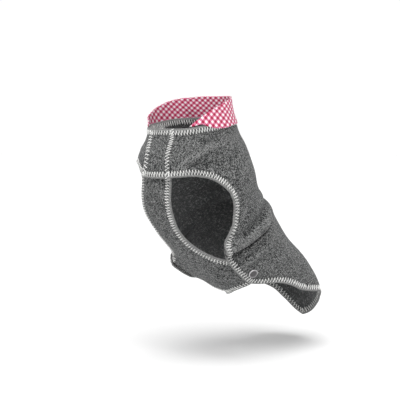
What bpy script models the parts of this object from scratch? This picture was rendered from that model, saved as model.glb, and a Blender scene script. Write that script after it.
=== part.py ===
"""A dog's winter coat of fleece jersey, in the hollow form it has when it is worn.

Frame: metres, +Z up. The dog faces -Y and its left side is +X. The origin is at the
withers, on the spine, where the inner face of the back panel rests on the dog.

Every cloth piece is drawn on one worn form and then raised into place. A place on the
form is given as
    along  millimetres down the trunk, 0 near the nape, growing towards the tail
    turn   degrees round the trunk, 0 on the spine, 90 on the left flank, 180 underneath
    lift   millimetres outwards from the outer face of the back panel
"""
import math
from collections import namedtuple

import bpy
import numpy as np
from mathutils import Matrix, Vector
from mathutils.geometry import delaunay_2d_cdt

MM = 0.001

# ---------------------------------------------------------------- driving sizes, in mm
CLOTH = 2.0                 # wall of the fleece jersey
COLLAR_CLOTH = 1.2          # wall of the woven collar
SEAM_GAP = 0.3              # between pieces that are sewn or pressed together
GIRTH_STEP = 1.08           # girth of one degree of turn on a flank
PANEL_MESH = 8.4            # triangle side inside a panel
EDGE_MESH = 6.0             # triangle side along a panel's edge
FOLD_MESH = 5.0             # triangle side along a fold
SHARP_FOLD = 2.0            # height from which the mesh follows a fold
SOFT_WIDTH = 10.0           # width from which it has no need to
ROUNDNESS = 2.15            # 2 would be an ellipse, more is squarer

STRAP_END = 160.0           # turn of the seam that joins the left strap to the tab
TUCKED_END = 187.0          # turn of the right strap's end, under the tab
STRAP_RISE = (132.0, 158.0)  # turns between which the left strap climbs to the tab

BACK_LIFT = -CLOTH                  # inner face of the back panel
BELLY_LIFT = BACK_LIFT - SEAM_GAP   # outer face of the belly panel
TAB_LIFT = SEAM_GAP                 # inner face of the closure tab
TAB_CORNER = 2.5                    # rounding of the tab's free corners

SNAP_RADIUS = 6.0           # ring of a snap's cap
SNAP_FLAT = 7.0             # radius within which a snap keeps the cloth flat
SNAP_SAG = 0.4              # rise of the curved cloth over a snap's radius

Place = namedtuple("Place", "along turn")
SNAP_PLACE = Place(199.0, 123.0)    # of the left snap, the right one mirrors it

# ------------------------------------------------------------------- the worn form, mm
Section = namedtuple("Section", "along centre_y centre_z tilt half_width half_depth")
SECTIONS = [
    Section(-34, -70.5, 60.0, -4, 50.0, 51.0),      # upper neck
    Section(-5, -65.5, 35.0, -2, 50.5, 51.5),       # neck above the coat
    Section(15, -61.5, 15.0, 3, 52.0, 53.0),        # neck edge
    Section(45, -62.0, -8.5, 8, 60.0, 64.5),        # withers
    Section(77, -54.5, -43.5, 16, 65.0, 71.0),      # shoulders
    Section(123, -39.5, -78.5, 26, 64.5, 68.5),     # behind the forelegs
    Section(165, -6.5, -112.0, 32, 61.5, 64.5),     # ribs
    Section(213, 30.0, -146.5, 33, 58.5, 59.0),     # waist
    Section(260, 70.0, -174.0, 28, 57.5, 55.0),     # loin
    Section(305, 96.0, -206.5, 20, 57.5, 52.5),     # rump
    Section(345, 100.5, -246.0, 8, 55.0, 48.0),     # root of the tail
]

# A fold is a ridge (height over 0) or a trough (under 0) between two places. It bows
# sideways by bow, and its height changes from one end to the other.
Fold = namedtuple("Fold", "along turn to_along to_turn height to_height width bow")
FOLDS = [
    # across the back, where the coat bends at the end of the chest
    Fold(133, 96, 132, -60, 1.2, 1.0, 8.0, 3.0),
    Fold(146, 104, 144, -20, -2.4, -2.4, 5.5, -3.0),
    Fold(144, -20, 147, -92, -2.4, -1.0, 6.5, 0.0),
    Fold(156, 78, 156, -50, 2.4, 1.8, 9.0, 0.0),
    # left flank, running back from the corner behind the foreleg
    Fold(152, 130, 154, 64, 2.6, 1.4, 5.5, -2.0),
    Fold(157, 134, 163, 68, -5.0, -0.8, 3.6, 2.0),
    Fold(166, 128, 166, 92, -2.2, -0.6, 6.0, -1.0),
    Fold(179, 124, 175, 76, 2.2, 0.8, 7.0, 3.0),
    Fold(190, 130, 196, 84, -1.6, -0.4, 8.0, 2.0),
    # right flank, the same but for a lower corner that hangs loose
    Fold(151, -128, 154, -76, 2.2, 0.8, 6.5, 2.0),
    Fold(157, -135, 161, -84, -4.0, -0.8, 4.0, -2.0),
    Fold(176, -124, 180, -78, 2.0, 0.6, 7.0, -3.0),
    Fold(172, -142, 194, -143, 11.0, 7.0, 15.0, 0.0),
    # shoulders, from the closure towards the withers
    Fold(51, 145, 30, 112, 1.1, 0.5, 5.0, 2.0),
    Fold(56, 128, 44, 100, -1.0, -0.5, 6.0, 1.0),
    Fold(48, -136, 32, -104, 1.0, 0.4, 6.0, 0.0),
    # hem over the hips
    Fold(292, 66, 250, 52, 1.6, 0.2, 11.0, 0.0),
    Fold(276, 92, 236, 74, -1.6, -0.2, 10.0, 0.0),
    Fold(292, -62, 246, -50, 1.8, 0.2, 12.0, 0.0),
]

# ------------------------------------------------- edges of the pieces, as they are cut
NECK_EDGE = [
    Place(2, 0), Place(2.6, 45), Place(4, 80), Place(5.6, 102), Place(7.6, 120),
    Place(9.2, 132), Place(10, 144), Place(10, STRAP_END),
]
TAB_FREE_EDGE = [
    Place(12.5, 198), Place(22, 197.5), Place(31, 195), Place(40, 191.5), Place(48, 191),
    Place(57.5, 196.5),
]
LEFT_ARMHOLE = [
    Place(60, STRAP_END), Place(60, 147), Place(62, 127), Place(67, 114), Place(78, 103),
    Place(92, 98.5), Place(107, 99), Place(122, 105), Place(134, 115.5), Place(145, 129),
    Place(156, 134.5),
]
RIGHT_ARMHOLE = [
    Place(60, -TUCKED_END), Place(59, -165), Place(57, -157), Place(53, -146),
    Place(53, -131), Place(60, -116), Place(75, -104), Place(92, -98.5), Place(107, -99),
    Place(122, -105), Place(134, -115.5), Place(145, -129), Place(156, -134.5),
]
LEFT_FLAP = [
    Place(156, 134.5), Place(162, 136.5), Place(180, 137.5), Place(199, 137),
    Place(212, 135), Place(221, 127.5), Place(230, 117), Place(240, 109.5),
    Place(256, 102), Place(271, 96), Place(283, 87.5), Place(297, 69), Place(312, 46),
    Place(326, 29), Place(339, 9), Place(342, 0),
]
RIGHT_FLAP = [
    Place(156, -134.5), Place(161, -140), Place(174, -146), Place(196, -144),
    Place(211, -138), Place(221, -128), Place(230, -117), Place(240, -109.5),
    Place(256, -102), Place(271, -96), Place(284, -87), Place(298, -68), Place(313, -45),
    Place(327, -28), Place(339, -9), Place(342, 0),
]
BELLY_LEFT = [
    Place(34, 163), Place(60, 158), Place(80, 161.5), Place(100, 162), Place(116, 163),
    Place(134, 160), Place(150, 153), Place(162, 143), Place(170, 128), Place(174, 107),
]
BELLY_LEFT_END = [Place(174, 107), Place(190, 104), Place(206, 105), Place(214, 109)]
BELLY_REAR = [
    Place(214, 109), Place(217, 136), Place(219, 149), Place(223, 162), Place(230, 176),
    Place(231, 187), Place(225, 202), Place(219, 214), Place(216, 228), Place(214, 251),
]
BELLY_RIGHT_END = [Place(214, 251), Place(206, 255), Place(190, 256), Place(174, 253)]
BELLY_RIGHT = [
    Place(174, 253), Place(170, 232), Place(162, 219), Place(150, 212), Place(134, 208),
    Place(116, 208), Place(98, 209.5), Place(80, 208.5), Place(62, 205), Place(34, 205),
]
COLLAR_TOP = [
    Place(-33, 0), Place(-31.5, 38), Place(-26, 66), Place(-20, 82), Place(-11, 99),
    Place(1, 123), Place(9, 138.5),
]
COLLAR_FOOT = [
    Place(6, 0), Place(6.4, 45), Place(8, 73), Place(10.8, 90), Place(10.4, 103),
    Place(8.4, 113), Place(6.2, 120), Place(7.4, 128), Place(9, 138.5),
]
COLLAR_TURN_OUT = (120.0, 128.0)  # turns between which the collar goes outside the coat
CHEST_BULGE = 2.2           # how far the chest strip's right edge stands off
CHEST_BULGE_AT = (88.0, 22.0)     # where along the trunk, and its half length

# ------------------------------------------------------------------------------ finishes
FLEECE = dict(colour=(0.095, 0.097, 0.098), roughness=0.95, metallic=0.0)
FLEECE_UNDER = dict(colour=(0.080, 0.082, 0.083), roughness=0.95, metallic=0.0)
GINGHAM = dict(colour=(0.780, 0.230, 0.300), roughness=0.85, metallic=0.0)
RING_METAL = dict(colour=(0.420, 0.420, 0.420), roughness=0.35, metallic=1.0)


# ------------------------------------------------------------------------- smooth curves
def smooth(knots, values, at):
    """Read a smooth curve through the knots at the given places."""
    knots = np.asarray(knots, float)
    values = np.asarray(values, float)
    gaps = np.diff(knots)
    rise = np.diff(values) / gaps
    slope = np.empty_like(values)
    slope[1:-1] = (rise[:-1] * gaps[1:] + rise[1:] * gaps[:-1]) / (gaps[1:] + gaps[:-1])
    slope[0] = 1.5 * rise[0] - 0.5 * slope[1]
    slope[-1] = 1.5 * rise[-1] - 0.5 * slope[-2]
    at = np.asarray(at, float)
    low = np.clip(np.searchsorted(knots, at) - 1, 0, len(knots) - 2)
    gap = gaps[low]
    t = (at - knots[low]) / gap
    return ((2 * t**3 - 3 * t**2 + 1) * values[low]
            + (t**3 - 2 * t**2 + t) * gap * slope[low]
            + (3 * t**2 - 2 * t**3) * values[low + 1]
            + (t**3 - t**2) * gap * slope[low + 1])


def ease(low, high, at):
    """Go from 0 at low to 1 at high, level at both ends."""
    t = np.clip((np.asarray(at, float) - low) / (high - low), 0, 1)
    return t * t * (3 - 2 * t)


# ------------------------------------------------------------------------- the worn form
def bare_form(along, turn):
    """Points of the form without its folds, in mm."""
    rows = np.array(SECTIONS)
    centre_y, centre_z, tilt, half_width, half_depth = (
        smooth(rows[:, 0], rows[:, column], along) for column in range(1, 6))
    angle = np.radians(turn)
    tilt = np.radians(tilt)
    power = 2 / ROUNDNESS
    side = half_width * np.sign(np.sin(angle)) * np.abs(np.sin(angle))**power
    up = half_depth * np.sign(np.cos(angle)) * np.abs(np.cos(angle))**power
    return np.stack([side, centre_y + up * np.cos(tilt), centre_z + up * np.sin(tilt)], -1)


def outward(surface, along, turn):
    """Unit normals of a surface of (along, turn), pointing away from the dog."""
    step = 0.5
    down = surface(along + step, turn) - surface(along - step, turn)
    round_ = surface(along, turn + step) - surface(along, turn - step)
    normal = np.cross(round_, down)
    return normal / np.linalg.norm(normal, axis=-1, keepdims=True)


def fold_height(along, turn):
    """Height of the folds over the bare form, in mm. The snaps hold the cloth flat."""
    turn = (np.asarray(turn, float) + 180) % 360 - 180
    place = np.stack([along, turn * GIRTH_STEP], -1)
    total = np.zeros(place.shape[:-1])
    for fold in FOLDS:
        start = np.array([fold.along, fold.turn * GIRTH_STEP])
        run = np.array([fold.to_along, fold.to_turn * GIRTH_STEP]) - start
        length = np.linalg.norm(run)
        run /= length
        reach = (place - start) @ run
        t = np.clip(reach / length, 0, 1)
        across = (place - start) @ np.array([-run[1], run[0]]) - 4 * fold.bow * t * (1 - t)
        past_end = reach - t * length
        height = fold.height + (fold.to_height - fold.height) * t
        total += height * np.exp(-(across**2 + past_end**2) / fold.width**2)
    snap = np.array([SNAP_PLACE.along, SNAP_PLACE.turn * GIRTH_STEP])
    from_snap = np.linalg.norm(np.stack([along, np.abs(place[..., 1])], -1) - snap, axis=-1)
    return total * ease(SNAP_FLAT, 3 * SNAP_FLAT, from_snap)


def folded_form(along, turn):
    """Points of the form with its folds, in mm."""
    height = fold_height(along, turn)[..., None]
    return bare_form(along, turn) + height * outward(bare_form, along, turn)


def raised(along, turn, lift):
    """Points that lie lift outside the folded form, in metres."""
    lift = np.broadcast_to(lift, np.shape(along))[..., None]
    return (folded_form(along, turn) + lift * outward(folded_form, along, turn)) * MM


# ----------------------------------------------------------------- outlines and their fill
def flat(places):
    """Places as a flat pattern in mm: down the trunk, and round the girth."""
    places = np.array(places, float)
    return places * (1, GIRTH_STEP)


def run_through(places, spacing):
    """Flat points at about one spacing along a smooth edge, without its last point."""
    points = flat(places)
    reach = np.concatenate([[0], np.cumsum(np.linalg.norm(np.diff(points, axis=0), axis=1))])
    count = max(2, round(reach[-1] / spacing))
    at = np.linspace(0, reach[-1], count + 1)[:-1]
    return np.stack([smooth(reach, points[:, k], at) for k in (0, 1)], -1)


def outline(edges, spacing=EDGE_MESH):
    """Closed flat loop that runs through the given edges in turn."""
    return np.concatenate([run_through(edge, spacing) for edge in edges])


def straight(start, end):
    """An edge that runs straight from one place to another."""
    return [start, Place(*(np.add(start, end) / 2)), end]


def mirrored(places):
    """The same edge on the dog's other side."""
    return [Place(place.along, -place.turn) for place in places]


def is_inside(points, loop):
    """Which of the points lie inside the closed loop."""
    here, there = loop, np.roll(loop, -1, axis=0)
    x, y = points[:, 0, None], points[:, 1, None]
    spans = (here[:, 1] > y) != (there[:, 1] > y)
    rise = np.where(there[:, 1] == here[:, 1], 1, there[:, 1] - here[:, 1])
    crossing = here[:, 0] + (y - here[:, 1]) / rise * (there[:, 0] - here[:, 0])
    return np.sum(spans & (x < crossing), axis=1) % 2 == 1


def clear_of(points, others, gap):
    """Which of the points keep the gap to all the others."""
    apart = np.linalg.norm(points[:, None] - others[None], axis=-1)
    return apart.min(axis=1) > gap


def every_turn(points):
    """The points, and their copies one full turn to either side."""
    full_turn = np.array([0, 360 * GIRTH_STEP])
    return np.concatenate([points - full_turn, points, points + full_turn])


def spaced(points, gap):
    """The points in order, without those too close to an earlier one."""
    kept = points[:1]
    for point in points[1:]:
        if clear_of(point[None], kept, gap)[0]:
            kept = np.concatenate([kept, point[None]])
    return kept


def fold_lines():
    """Flat points along the sharper folds, where the mesh has to follow them."""
    lines = []
    for fold in FOLDS:
        if abs(fold.height) < SHARP_FOLD or fold.width > SOFT_WIDTH:
            continue
        start = np.array([fold.along, fold.turn * GIRTH_STEP])
        run = np.array([fold.to_along, fold.to_turn * GIRTH_STEP]) - start
        length = np.linalg.norm(run)
        side = np.array([-run[1], run[0]]) / length
        sides = (-fold.width, 0, fold.width) if fold.width < FOLD_MESH else (0,)
        for t in np.linspace(0, 1, round(length / FOLD_MESH) + 1):
            bowed = start + run * t + side * 4 * fold.bow * t * (1 - t)
            lines += [bowed + side * offset for offset in sides]
    return every_turn(spaced(np.array(lines), 0.5 * FOLD_MESH))


def shared_points(loops):
    """Flat points that all pieces use inside their outlines, so that layers lie parallel."""
    edges = every_turn(np.concatenate(loops))
    folds = fold_lines()
    folds = folds[clear_of(folds, edges, 0.5 * FOLD_MESH)]
    per_turn = round(360 * GIRTH_STEP / PANEL_MESH)
    step = 360 * GIRTH_STEP / per_turn
    rows = np.arange(edges[:, 0].min(), edges[:, 0].max(), step * math.sin(math.pi / 3))
    grid = np.array([(along, (column + row % 2 / 2) * step) for row, along in enumerate(rows)
                     for column in range(-per_turn, per_turn)])
    grid = grid[clear_of(grid, np.concatenate([edges, folds]), 0.6 * PANEL_MESH)]
    return np.concatenate([edges, folds, grid])


def fill(loop, points):
    """Corners and triangles that fill a flat loop, with the given points inside it."""
    inner = points[is_inside(points, loop)]
    inner = inner[clear_of(inner, loop, 0.4 * EDGE_MESH)]
    corners = [Vector(point) for point in np.concatenate([loop, inner])]
    border = [(k, (k + 1) % len(loop)) for k in range(len(loop))]
    inside_only = 1
    corners, _, triangles, *_ = delaunay_2d_cdt(corners, border, [], inside_only, 1e-6)
    return np.array(corners), triangles


# ------------------------------------------------------------------------ making objects
def collection(name):
    """A new collection in the scene."""
    made = bpy.data.collections.new(name)
    bpy.context.scene.collection.children.link(made)
    return made


def finish(name, colour, roughness, metallic):
    """A plain Principled material."""
    material = bpy.data.materials.new(name)
    material.use_nodes = True
    shader = material.node_tree.nodes["Principled BSDF"]
    shader.inputs["Base Color"].default_value = (*colour, 1)
    shader.inputs["Roughness"].default_value = roughness
    shader.inputs["Metallic"].default_value = metallic
    return material


def mesh_object(name, corners, faces, look, into):
    """A named object with its own mesh and its own material."""
    mesh = bpy.data.meshes.new(name)
    mesh.from_pydata([tuple(corner) for corner in corners], [], faces)
    mesh.shade_smooth()
    mesh.materials.append(finish(name, **look))
    made = bpy.data.objects.new(name, mesh)
    into.objects.link(made)
    return made


def cloth(cut, points, into):
    """A piece of cloth: its flat outline filled, laid on the form and given its wall."""
    corners, triangles = fill(cut.loop, points)
    along, turn = corners[:, 0], corners[:, 1] / GIRTH_STEP
    places = raised(along, turn, cut.lift(along, turn))
    piece = mesh_object(cut.name, places, [triangle[::-1] for triangle in triangles],
                        cut.look, into)
    wall = piece.modifiers.new("Wall", "SOLIDIFY")
    wall.thickness = cut.wall * MM
    wall.offset = cut.grows
    wall.use_even_offset = True
    wall.use_quality_normals = True
    return piece


def turned(name, profile, place, lift, facing, look, into):
    """A round piece from a profile of (radius, height) in mm, set square on the cloth."""
    corners = [(radius * MM, 0, height * MM) for radius, height in profile]
    edges = [(k, k + 1) for k in range(len(profile) - 1)]
    mesh = bpy.data.meshes.new(name)
    mesh.from_pydata(corners, edges, [])
    mesh.materials.append(finish(name, **look))
    made = bpy.data.objects.new(name, mesh)
    into.objects.link(made)
    spin = made.modifiers.new("Turn", "SCREW")
    spin.steps = spin.render_steps = 24
    spin.use_merge_vertices = True
    spin.merge_threshold = 0.00001
    along, turn = np.array([place.along]), np.array([place.turn])
    normal = Vector(outward(folded_form, along, turn)[0]) * facing
    seat = Vector(raised(along, turn, lift)[0])
    square = normal.to_track_quat("Z", "Y").to_matrix().to_4x4()
    made.matrix_world = Matrix.Translation(seat) @ square
    return made


# ------------------------------------------------------------------------------ the coat
# A cut piece: its closed flat loop, its wall, and the height of the face that is drawn
# as a function of along and turn. The wall grows outwards (1) or inwards (-1) from it.
Cut = namedtuple("Cut", "name loop lift wall grows look")


def back_panel():
    """Back, both flaps and both chest straps, cut in one piece."""
    right_neck = mirrored(NECK_EDGE) + [Place(8, -TUCKED_END)]
    loop = outline([
        NECK_EDGE, straight(NECK_EDGE[-1], LEFT_ARMHOLE[0]), LEFT_ARMHOLE, LEFT_FLAP,
        RIGHT_FLAP[::-1], RIGHT_ARMHOLE[::-1], straight(RIGHT_ARMHOLE[0], right_neck[-1]),
        right_neck[::-1],
    ])

    def lift(along, turn):
        """The left strap climbs to the height of the tab that it is sewn to."""
        return BACK_LIFT + (TAB_LIFT - BACK_LIFT) * ease(*STRAP_RISE, turn)

    return Cut("back_panel", loop, lift, CLOTH, 1, FLEECE)


def closure_tab():
    """The tab that is sewn to the left strap and closes over the right one."""
    seam = STRAP_END + 2 * SEAM_GAP / GIRTH_STEP
    top, foot = NECK_EDGE[-1].along, LEFT_ARMHOLE[0].along
    near, cut_off = TAB_CORNER, 0.3 * TAB_CORNER
    free_top, free_foot = TAB_FREE_EDGE[0], TAB_FREE_EDGE[-1]
    top_end = Place(top, free_top.turn - near)
    foot_end = Place(foot, free_foot.turn - near)
    loop = outline([
        straight(Place(foot, seam), Place(top, seam)),
        straight(Place(top, seam), top_end),
        [top_end, Place(top + cut_off, free_top.turn - cut_off), free_top],
        TAB_FREE_EDGE,
        [free_foot, Place(foot - cut_off, free_foot.turn - cut_off), foot_end],
        straight(foot_end, Place(foot, seam)),
    ])
    return Cut("closure_tab", loop, lambda along, turn: TAB_LIFT, CLOTH, 1, FLEECE)


def belly_panel():
    """The chest strip that runs between the forelegs and widens into two wings."""
    loop = outline([
        BELLY_LEFT, BELLY_LEFT_END, BELLY_REAR, BELLY_RIGHT_END, BELLY_RIGHT,
        straight(BELLY_RIGHT[-1], BELLY_LEFT[0]),
    ])

    def lift(along, turn):
        """The strip's right edge stands off a little where the chest is fullest."""
        middle, half_length = CHEST_BULGE_AT
        bulge = np.exp(-((along - middle) / half_length)**2) * ease(180, 205, turn)
        below_tab = ease(LEFT_ARMHOLE[0].along, LEFT_ARMHOLE[0].along + 14, along)
        return BELLY_LIFT + CHEST_BULGE * bulge * below_tab

    return Cut("belly_panel", loop, lift, CLOTH, -1, FLEECE_UNDER)


def collar():
    """The collar at the nape: outside the coat behind, sewn to its neck edge in front."""
    loop = outline([
        COLLAR_TOP, COLLAR_FOOT[::-1], mirrored(COLLAR_FOOT), mirrored(COLLAR_TOP)[::-1],
    ])

    def lift(along, turn):
        """Over the back panel behind, level with the middle of its wall in front."""
        outside = 1 - ease(*COLLAR_TURN_OUT, np.abs(turn))
        return -(CLOTH + COLLAR_CLOTH) / 2 * (1 - outside) + SEAM_GAP * outside

    return Cut("collar", loop, lift, COLLAR_CLOTH, 1, GINGHAM)


def snaps(into):
    """Press snaps that hold the flaps to the wings: a ring cap outside, a stud inside."""
    rim = SNAP_RADIUS
    cap = [(0, 0.7), (rim - 2.4, 0.7), (rim - 1.8, 1.2), (rim - 1, 1.5), (rim - 0.3, 1.2),
           (rim, 0.6), (rim - 0.2, 0), (0, 0)]
    stud = [(0, 1.0), (rim - 2.8, 1.0), (rim - 2.2, 0.7), (rim - 0.8, 0.7), (rim - 0.4, 0.3),
            (rim - 0.6, 0), (0, 0)]
    inside = BELLY_LIFT - CLOTH - SEAM_GAP - SNAP_SAG
    for side, sign in (("left", 1), ("right", -1)):
        place = Place(SNAP_PLACE.along, sign * SNAP_PLACE.turn)
        turned(f"snap_cap_{side}", cap, place, SEAM_GAP, 1, RING_METAL, into)
        turned(f"snap_stud_{side}", stud, place, inside, -1, RING_METAL, into)


def main():
    """Clear the scene and make the coat."""
    for old in list(bpy.data.objects):
        bpy.data.objects.remove(old)
    coat = collection("dog_winter_coat")
    cuts = [back_panel(), closure_tab(), belly_panel(), collar()]
    points = shared_points([cut.loop for cut in cuts])
    for cut in cuts:
        cloth(cut, points, coat)
    snaps(coat)


main()
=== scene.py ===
"""Looks of a dog's winter coat: heather fleece, off-white overlocking, a gingham collar.

Frame: metres, +Z up, the dog faces -Y and its left side is +X, as in the part's source.
Each cloth piece is cut as a flat pattern and laid on one worn form. A place on the form is
    along  millimetres down the trunk, 0 near the nape, growing towards the tail
    turn   degrees round the trunk, 0 on the spine, 90 on the left flank, 180 underneath
    lift   millimetres outwards from the outer face of the back panel
A flat pattern has (along, turn times GIRTH_STEP) as its two coordinates, in millimetres.
"""
import logging
import math
from dataclasses import dataclass, field
from enum import Enum
from typing import Callable, Iterable, Sequence

import bpy
import numpy as np
from mathutils import Matrix, Vector
from mathutils.geometry import delaunay_2d_cdt


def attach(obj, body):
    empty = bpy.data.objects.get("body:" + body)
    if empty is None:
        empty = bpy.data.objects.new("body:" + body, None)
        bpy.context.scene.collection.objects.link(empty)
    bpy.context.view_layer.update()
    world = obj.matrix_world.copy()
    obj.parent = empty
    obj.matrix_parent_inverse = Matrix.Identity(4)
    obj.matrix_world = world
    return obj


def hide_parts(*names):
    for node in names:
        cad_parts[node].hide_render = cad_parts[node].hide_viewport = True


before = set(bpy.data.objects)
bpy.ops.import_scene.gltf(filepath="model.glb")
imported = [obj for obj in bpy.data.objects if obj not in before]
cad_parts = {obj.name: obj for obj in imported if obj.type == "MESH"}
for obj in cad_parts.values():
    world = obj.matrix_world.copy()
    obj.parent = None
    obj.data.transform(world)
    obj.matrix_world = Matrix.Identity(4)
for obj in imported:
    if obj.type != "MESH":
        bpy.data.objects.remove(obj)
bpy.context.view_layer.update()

Array = np.ndarray
Triple = tuple[float, float, float]
Colour = Triple
Surface = Callable[[Array, Array], Array]

MM = 0.001
GIRTH_STEP = 1.08   # millimetres of flat cloth to a degree round the trunk
STRAP_END = 160.0   # turn of the seam between the left strap and its tab
TUCKED_END = 187.0  # the same of the right strap's end under the tab, to the other side
SEAM_GAP = 0.3      # millimetres between pieces that touch
PLAIN = 99.0        # millimetres from an edge, too far for its sewing to shape the cloth
BATCH = 2000        # points compared at a time, to save memory
BODY = "root"
log = logging.getLogger("dog_winter_coat")


# --------------------------------------------------------------------------- small sums
def smooth(knots: Array, values: Array, at: Array) -> Array:
    """Read a smooth curve through the knots.

    Args:
        knots: rising places of the knots.
        values: the curve's value at each knot.
        at: places to read.

    Returns:
        The curve's values at those places.
    """
    knots, values, at = (np.asarray(x, float) for x in (knots, values, at))
    gaps = np.diff(knots)
    rise = np.diff(values) / gaps
    slope = np.empty_like(values)
    slope[1:-1] = (rise[:-1] * gaps[1:] + rise[1:] * gaps[:-1]) / (gaps[1:] + gaps[:-1])
    slope[0] = 1.5 * rise[0] - 0.5 * slope[1]
    slope[-1] = 1.5 * rise[-1] - 0.5 * slope[-2]
    low = np.clip(np.searchsorted(knots, at) - 1, 0, len(knots) - 2)
    gap = gaps[low]
    t = (at - knots[low]) / gap
    return ((2 * t**3 - 3 * t**2 + 1) * values[low] + (t**3 - 2 * t**2 + t) * gap * slope[low]
            + (3 * t**2 - 2 * t**3) * values[low + 1] + (t**3 - t**2) * gap * slope[low + 1])


def ease(low: float, high: float, at: Array) -> Array:
    """Go from 0 at low to 1 at high, level at both ends."""
    t = np.clip((np.asarray(at, float) - low) / (high - low), 0, 1)
    return t * t * (3 - 2 * t)


def unit(vectors: Array) -> Array:
    """Vectors of length 1 in the same directions."""
    return vectors / np.maximum(np.linalg.norm(vectors, axis=-1, keepdims=True), 1e-12)


def nearest_gap(points: Array, others: Array) -> Array:
    """Distance from each point to the nearest of the others."""
    return np.concatenate([np.linalg.norm(part[:, None] - others[None], axis=-1).min(axis=1)
                           for part in np.array_split(points, len(points) // BATCH + 1)])


def is_inside(points: Array, loop: Array) -> Array:
    """Which flat points lie inside a closed flat loop."""
    here, there = loop, np.roll(loop, -1, axis=0)
    run = np.where(there[:, 1] == here[:, 1], 1, there[:, 1] - here[:, 1])
    found = []
    for part in np.array_split(points, len(points) // BATCH + 1):
        x, y = part[:, 0, None], part[:, 1, None]
        spans = (here[:, 1] > y) != (there[:, 1] > y)
        crossing = here[:, 0] + (y - here[:, 1]) / run * (there[:, 0] - here[:, 0])
        found.append(np.sum(spans & (x < crossing), axis=1) % 2 == 1)
    return np.concatenate(found)


# -------------------------------------------------------------------------- the worn form
@dataclass(frozen=True)
class Fold:
    """A ridge, or a trough where its height is below 0, between two places of the form.

    Width is the half width in mm at which it has sunk to about a third, bow bends its line
    sideways at the middle, and lean pulls the cloth over to one side.
    """

    along: float
    turn: float
    to_along: float
    to_turn: float
    height: float
    to_height: float
    width: float
    bow: float = 0.0
    lean: float = 0.0
    lean_fade: float = 0.6

    def line(self) -> tuple[Array, Array, Array, float]:
        """Where it starts, its direction, its sideways direction and its length, all flat."""
        start = np.array([self.along, self.turn * GIRTH_STEP])
        run = np.array([self.to_along, self.to_turn * GIRTH_STEP]) - start
        length = float(np.linalg.norm(run))
        run = run / length
        return start, run, np.array([-run[1], run[0]]), length

    def shape(self, place: Array) -> tuple[Array, Array]:
        """Its height at flat places, and how far it pulls the cloth sideways there."""
        start, run, side, length = self.line()
        reach = (place - start) @ run
        t = np.clip(reach / length, 0, 1)
        across = (place - start) @ side - 4 * self.bow * t * (1 - t)
        bell = np.exp(-(across**2 + (reach - t * length)**2) / self.width**2)
        height = (self.height + (self.to_height - self.height) * t) * bell
        return height, (self.lean * (1 - self.lean_fade * t) * bell)[..., None] * side


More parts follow.
